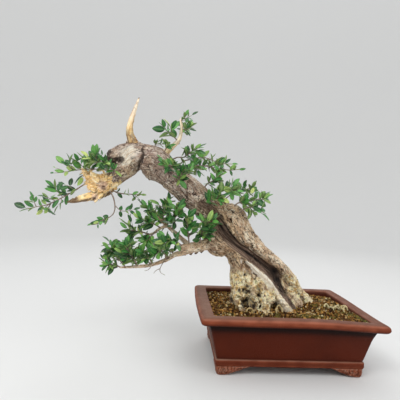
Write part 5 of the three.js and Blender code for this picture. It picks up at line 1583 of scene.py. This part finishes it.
def soil_shape():
    """A gritty sheet of small domes, one for each scattered grain, drawn down at its border to the
    pot's floor, so that it is a closed block."""
    u, v = np.meshgrid(np.linspace(-1, 1, SOIL_COLUMNS), np.linspace(-1, 1, SOIL_ROWS))
    x, y = SOIL_HALF_X * u, SOIL_HALF_Y * v
    past = [np.maximum(np.abs(values) - half + SOIL_CORNER, 0)
            for values, half in ((x, SOIL_HALF_X), (y, SOIL_HALF_Y))]
    pull = SOIL_CORNER / np.maximum(np.hypot(*past), SOIL_CORNER)
    x, y = corner_bent(x, SOIL_HALF_X, pull), corner_bent(y, SOIL_HALF_Y, pull)
    flat = np.stack([x.ravel(), y.ravel(), np.zeros(x.size)], axis=1)
    first, second, own = cells(flat / (4.4, 4.4, 9), 81)
    small = cells(flat / (2.1, 2.1, 9), 85)[0]
    swell = rough(flat / 26, 88, 2)
    dome = 2.4 * np.sqrt(np.clip(1 - first**2, 0, 1))
    height = dome + 0.9 * (1 - small) + 2.0 * swell + 1.6 * own
    top = np.column_stack([flat[:, :2], soil_height(flat[:, 0], flat[:, 1]) + height - 3.4])

    # The border, two narrower rings below it, as the bowl narrows, and the underside's middle.
    place = np.arange(len(top)).reshape(SOIL_ROWS, SOIL_COLUMNS)
    rim = np.concatenate([place[0], place[1:, -1], place[-1, -2::-1], place[-2:0:-1, 0]])
    count = len(rim)
    lower = top[rim] * (0.94, 0.92, 0) + (0, 0, 60)
    bottom = top[rim] * (0.869, 0.818, 0) + (0, 0, SOIL_FLOOR)
    points = np.vstack([top, lower, bottom, [[0, 0, SOIL_FLOOR]]])
    rings = [rim, len(top) + np.arange(count), len(top) + count + np.arange(count)]
    wall = [np.stack([a, b, np.roll(b, -1), np.roll(a, -1)], axis=1)
            for a, b in zip(rings, rings[1:])]
    centre = np.full(count, len(points) - 1)
    under = np.stack([centre, np.roll(rings[2], -1), rings[2]], axis=1)

    def filled(values, below):
        """The top's values, and one more for all the points below it."""
        return np.concatenate([values, np.full(2 * count + 1, below)])

    moss = rough(flat / 22, 90, 3) + 0.7 * blobs(flat, [(112, -20, 0, 42)])
    return {
        "points": points,
        "quads": np.vstack([grid_quads(SOIL_ROWS, SOIL_COLUMNS, closed=False), *wall]),
        "tris": under,
        "tone": filled(np.clip(own * 0.6 + 0.1 * swell, 0, 1), 0.3),
        "moss": filled(smooth(moss, 0.1, 0.8) * 0.85, 0.0),
        "fissure": filled(1 - smooth(second - first, 0.0, 0.3), 0.2),
    }


# A grain before it is stretched: the corners and the faces of a twenty-faced ball.
GRAIN_FORM = np.array([
    (0, 0, 1), (0.894, 0, 0.447), (0.276, 0.851, 0.447), (-0.724, 0.526, 0.447),
    (-0.724, -0.526, 0.447), (0.276, -0.851, 0.447), (0.724, 0.526, -0.447),
    (-0.276, 0.851, -0.447), (-0.894, 0, -0.447), (-0.276, -0.851, -0.447), (0.724, -0.526, -0.447),
    (0, 0, -1),
])
GRAIN_FACES = np.array([
    (0, 1, 2), (0, 2, 3), (0, 3, 4), (0, 4, 5), (0, 5, 1), (1, 6, 2), (2, 7, 3), (3, 8, 4),
    (4, 9, 5), (5, 10, 1), (1, 10, 6), (2, 6, 7), (3, 7, 8), (4, 8, 9), (5, 9, 10), (11, 7, 6),
    (11, 8, 7), (11, 9, 8), (11, 10, 9), (11, 6, 10),
])


def grain_shapes(count, seed):
    """Loose grains on the soil: twenty-faced lumps, each stretched, turned and set by a draw."""
    draw = np.random.default_rng(seed)
    corners = len(GRAIN_FORM)
    x = draw.uniform(-GRAINS_HALF_X, GRAINS_HALF_X, count)
    y = draw.uniform(-GRAINS_HALF_Y, GRAINS_HALF_Y, count)
    size = 0.7 + 2.1 * draw.random(count) ** 2.2
    stretch = draw.uniform(0.6, 1.25, (count, 1, 3))
    jitter = draw.uniform(0.75, 1.2, (count, corners, 1))
    angle = draw.uniform(0, 2 * np.pi, count)[:, None]
    a, b, up = np.moveaxis(GRAIN_FORM[None] * jitter * stretch * size[:, None, None], -1, 0)
    turned = np.stack([a * np.cos(angle) - b * np.sin(angle),
                       a * np.sin(angle) + b * np.cos(angle), up], -1)
    centre = np.stack([x, y, soil_height(x, y) + draw.uniform(-1.0, 1.6, count)], axis=1)
    shift = (np.arange(count) * corners)[:, None, None]
    return {
        "points": (turned + centre[:, None]).reshape(-1, 3),
        "quads": np.zeros((0, 4), int),
        "tris": (GRAIN_FACES[None] + shift).reshape(-1, 3),
        "tone": np.repeat(draw.random(count) ** 1.25, corners),
        "moss": np.repeat((draw.random(count) < 0.12) * 0.7, corners),
    }


# Dead surface roots that curl out of the soil: (x, y, half width, height, turn in plan) each.
LOOPS = [
    (99, -4, 5.5, 6, 0.4), (104, -14, 5, 4, -0.9), (113, -14, 6.5, 4, 0.2), (121, -6, 6.5, 5, 0.5),
    (128, 3, 5.5, 5, 1.1), (131, -14, 6, 8, -0.7), (129, -26, 5.5, 9, 0.4), (122, -24, 5, 6, 1.9),
    (44, -50, 5, 1.6, 0.2), (50, -55, 4, 1.3, -0.4), (-13, -54, 6, 13, 0.1), (-17, -56, 4, 9, 0.9),
    (-68, -50, 7, 6, 0.3), (-30, -60, 4, 3, 1.8),
]


def loop_shapes():
    """Arches of thin root, each half an ellipse that is rooted in the soil at both ends."""
    x, y, half, high, turn = np.array(LOOPS).T[:, :, None]
    angle = np.linspace(-0.25, np.pi + 0.25, 16)[None, :]
    aside = half * np.cos(angle)
    lean = 0.35 * high * np.sin(angle)
    centres = np.stack([x + aside * np.cos(turn) - lean * np.sin(turn),
                        y + aside * np.sin(turn) + lean * np.cos(turn),
                        soil_height(x, y) - 0.5 + high * np.sin(angle)], axis=2)
    radius = LOOP_RADIUS * (1 + 0.2 * np.sin(5 * angle + 3 * turn))
    count = len(LOOPS)
    return tubes(centres, radius, 7, tone=np.linspace(1.0, 0.86, count),
                 moss=np.linspace(0.0, 0.2, count))


surface("soil_bed", [(soil_shape(), SOIL)], "soil", "soil")
GRAINS = gathered([grain_shapes(count=4000, seed=7), loop_shapes()])
surface("soil_grains", [(GRAINS, SOIL)], "soil", "soil")


# ---- Camera, lights and floor ---------------------------------------------------------------

# The lens and sensor in millimetres, and the camera's place and axes in the pot's frame.
LENS, SENSOR_WIDTH = 31.05, 36.0
CAMERA_PLACE = np.array([-210.77, -692.43, 288.31])
CAMERA_RIGHT = np.array([0.99688806, -0.06165387, 0.04912229])
CAMERA_UP = np.array([-0.05045498, -0.02024737, 0.99852108])
CAMERA_AHEAD = np.array([0.06056809, 0.9978922, 0.02329511])
# How many points the floor has round it, its height, how far out it is flat, how far out it goes
# and how high it has risen there.
FLOOR_SIDES, FLOOR_Z, FLAT_OUT, WALL_OUT, WALL_HEIGHT = 96, -0.3, 2400, 6000, 4420
FLOOR_COLOUR, SKY_COLOUR = tint(222, 222, 221), tint(250, 251, 252)


def set_camera():
    """The view from in front of the tree, level with the bend of its trunk. A camera looks along
    its own -Z."""
    data = bpy.data.cameras.new("camera")
    data.lens, data.sensor_width = LENS, SENSOR_WIDTH
    data.clip_start, data.clip_end = 0.01, 50.0
    camera = linked("camera", data)
    matrix = np.eye(4)
    matrix[:3] = np.column_stack([CAMERA_RIGHT, CAMERA_UP, -CAMERA_AHEAD,
                                  CAMERA_PLACE * MM + ORIGIN])
    camera.matrix_world = Matrix(matrix.tolist())
    bpy.context.scene.camera = camera


def area_light(name, place, size, power, target=(-0.1, 0, 0.2)):
    """A soft square light that looks at the tree."""
    data = bpy.data.lights.new(name, "AREA")
    data.shape, data.size, data.energy = "SQUARE", size, power
    light = linked(name, data)
    light.location = place
    light.rotation_euler = (Vector(target) - Vector(place)).to_track_quat("-Z", "Y").to_euler()


def set_stage():
    """A pale floor that turns up into a wall all round, under a bright sky. It rises as the square
    of the way past its flat middle."""
    radius = np.concatenate([[50], np.linspace(500, WALL_OUT, 34)])
    rise = np.clip((radius - FLAT_OUT) / (WALL_OUT - FLAT_OUT), 0, 1)
    height = WALL_HEIGHT * rise**2 + FLOOR_Z
    angle = np.linspace(0, 2 * np.pi, FLOOR_SIDES, endpoint=False)
    circle = np.stack([np.cos(angle), np.sin(angle), np.zeros(FLOOR_SIDES)], axis=1)
    rings = circle * radius[:, None, None] + height[:, None, None] * (0, 0, 1)
    points = np.vstack([rings.reshape(-1, 3), [[0, 0, FLOOR_Z]]])
    first = np.arange(FLOOR_SIDES)
    hub = np.stack([np.full(FLOOR_SIDES, len(points) - 1), first, np.roll(first, -1)], axis=1)
    bowl = {"points": points, "quads": grid_quads(len(rings), FLOOR_SIDES)[:, ::-1], "tris": hub}
    floor = linked("floor", mesh_of("floor", bowl))
    paint = bpy.data.materials.new("floor paint")
    paint.use_nodes = True
    shader = paint.node_tree.nodes["Principled BSDF"]
    shader.inputs["Base Color"].default_value = FLOOR_COLOUR
    shader.inputs["Roughness"].default_value = 1.0
    floor.data.materials.append(paint)
    world = bpy.data.worlds.new("studio")
    world.use_nodes = True
    sky = world.node_tree.nodes["Background"]
    sky.inputs["Color"].default_value = SKY_COLOUR
    sky.inputs["Strength"].default_value = 1.0
    bpy.context.scene.world = world
    bpy.context.scene.view_settings.view_transform = "Standard"


set_camera()
set_stage()
area_light("key", (-0.7, -1.1, 1.5), size=0.7, power=12.0)
area_light("fill", (1.2, -0.9, 0.9), size=1.2, power=5.0)
area_light("rim", (0.4, 1.4, 1.6), size=1.0, power=5.0)
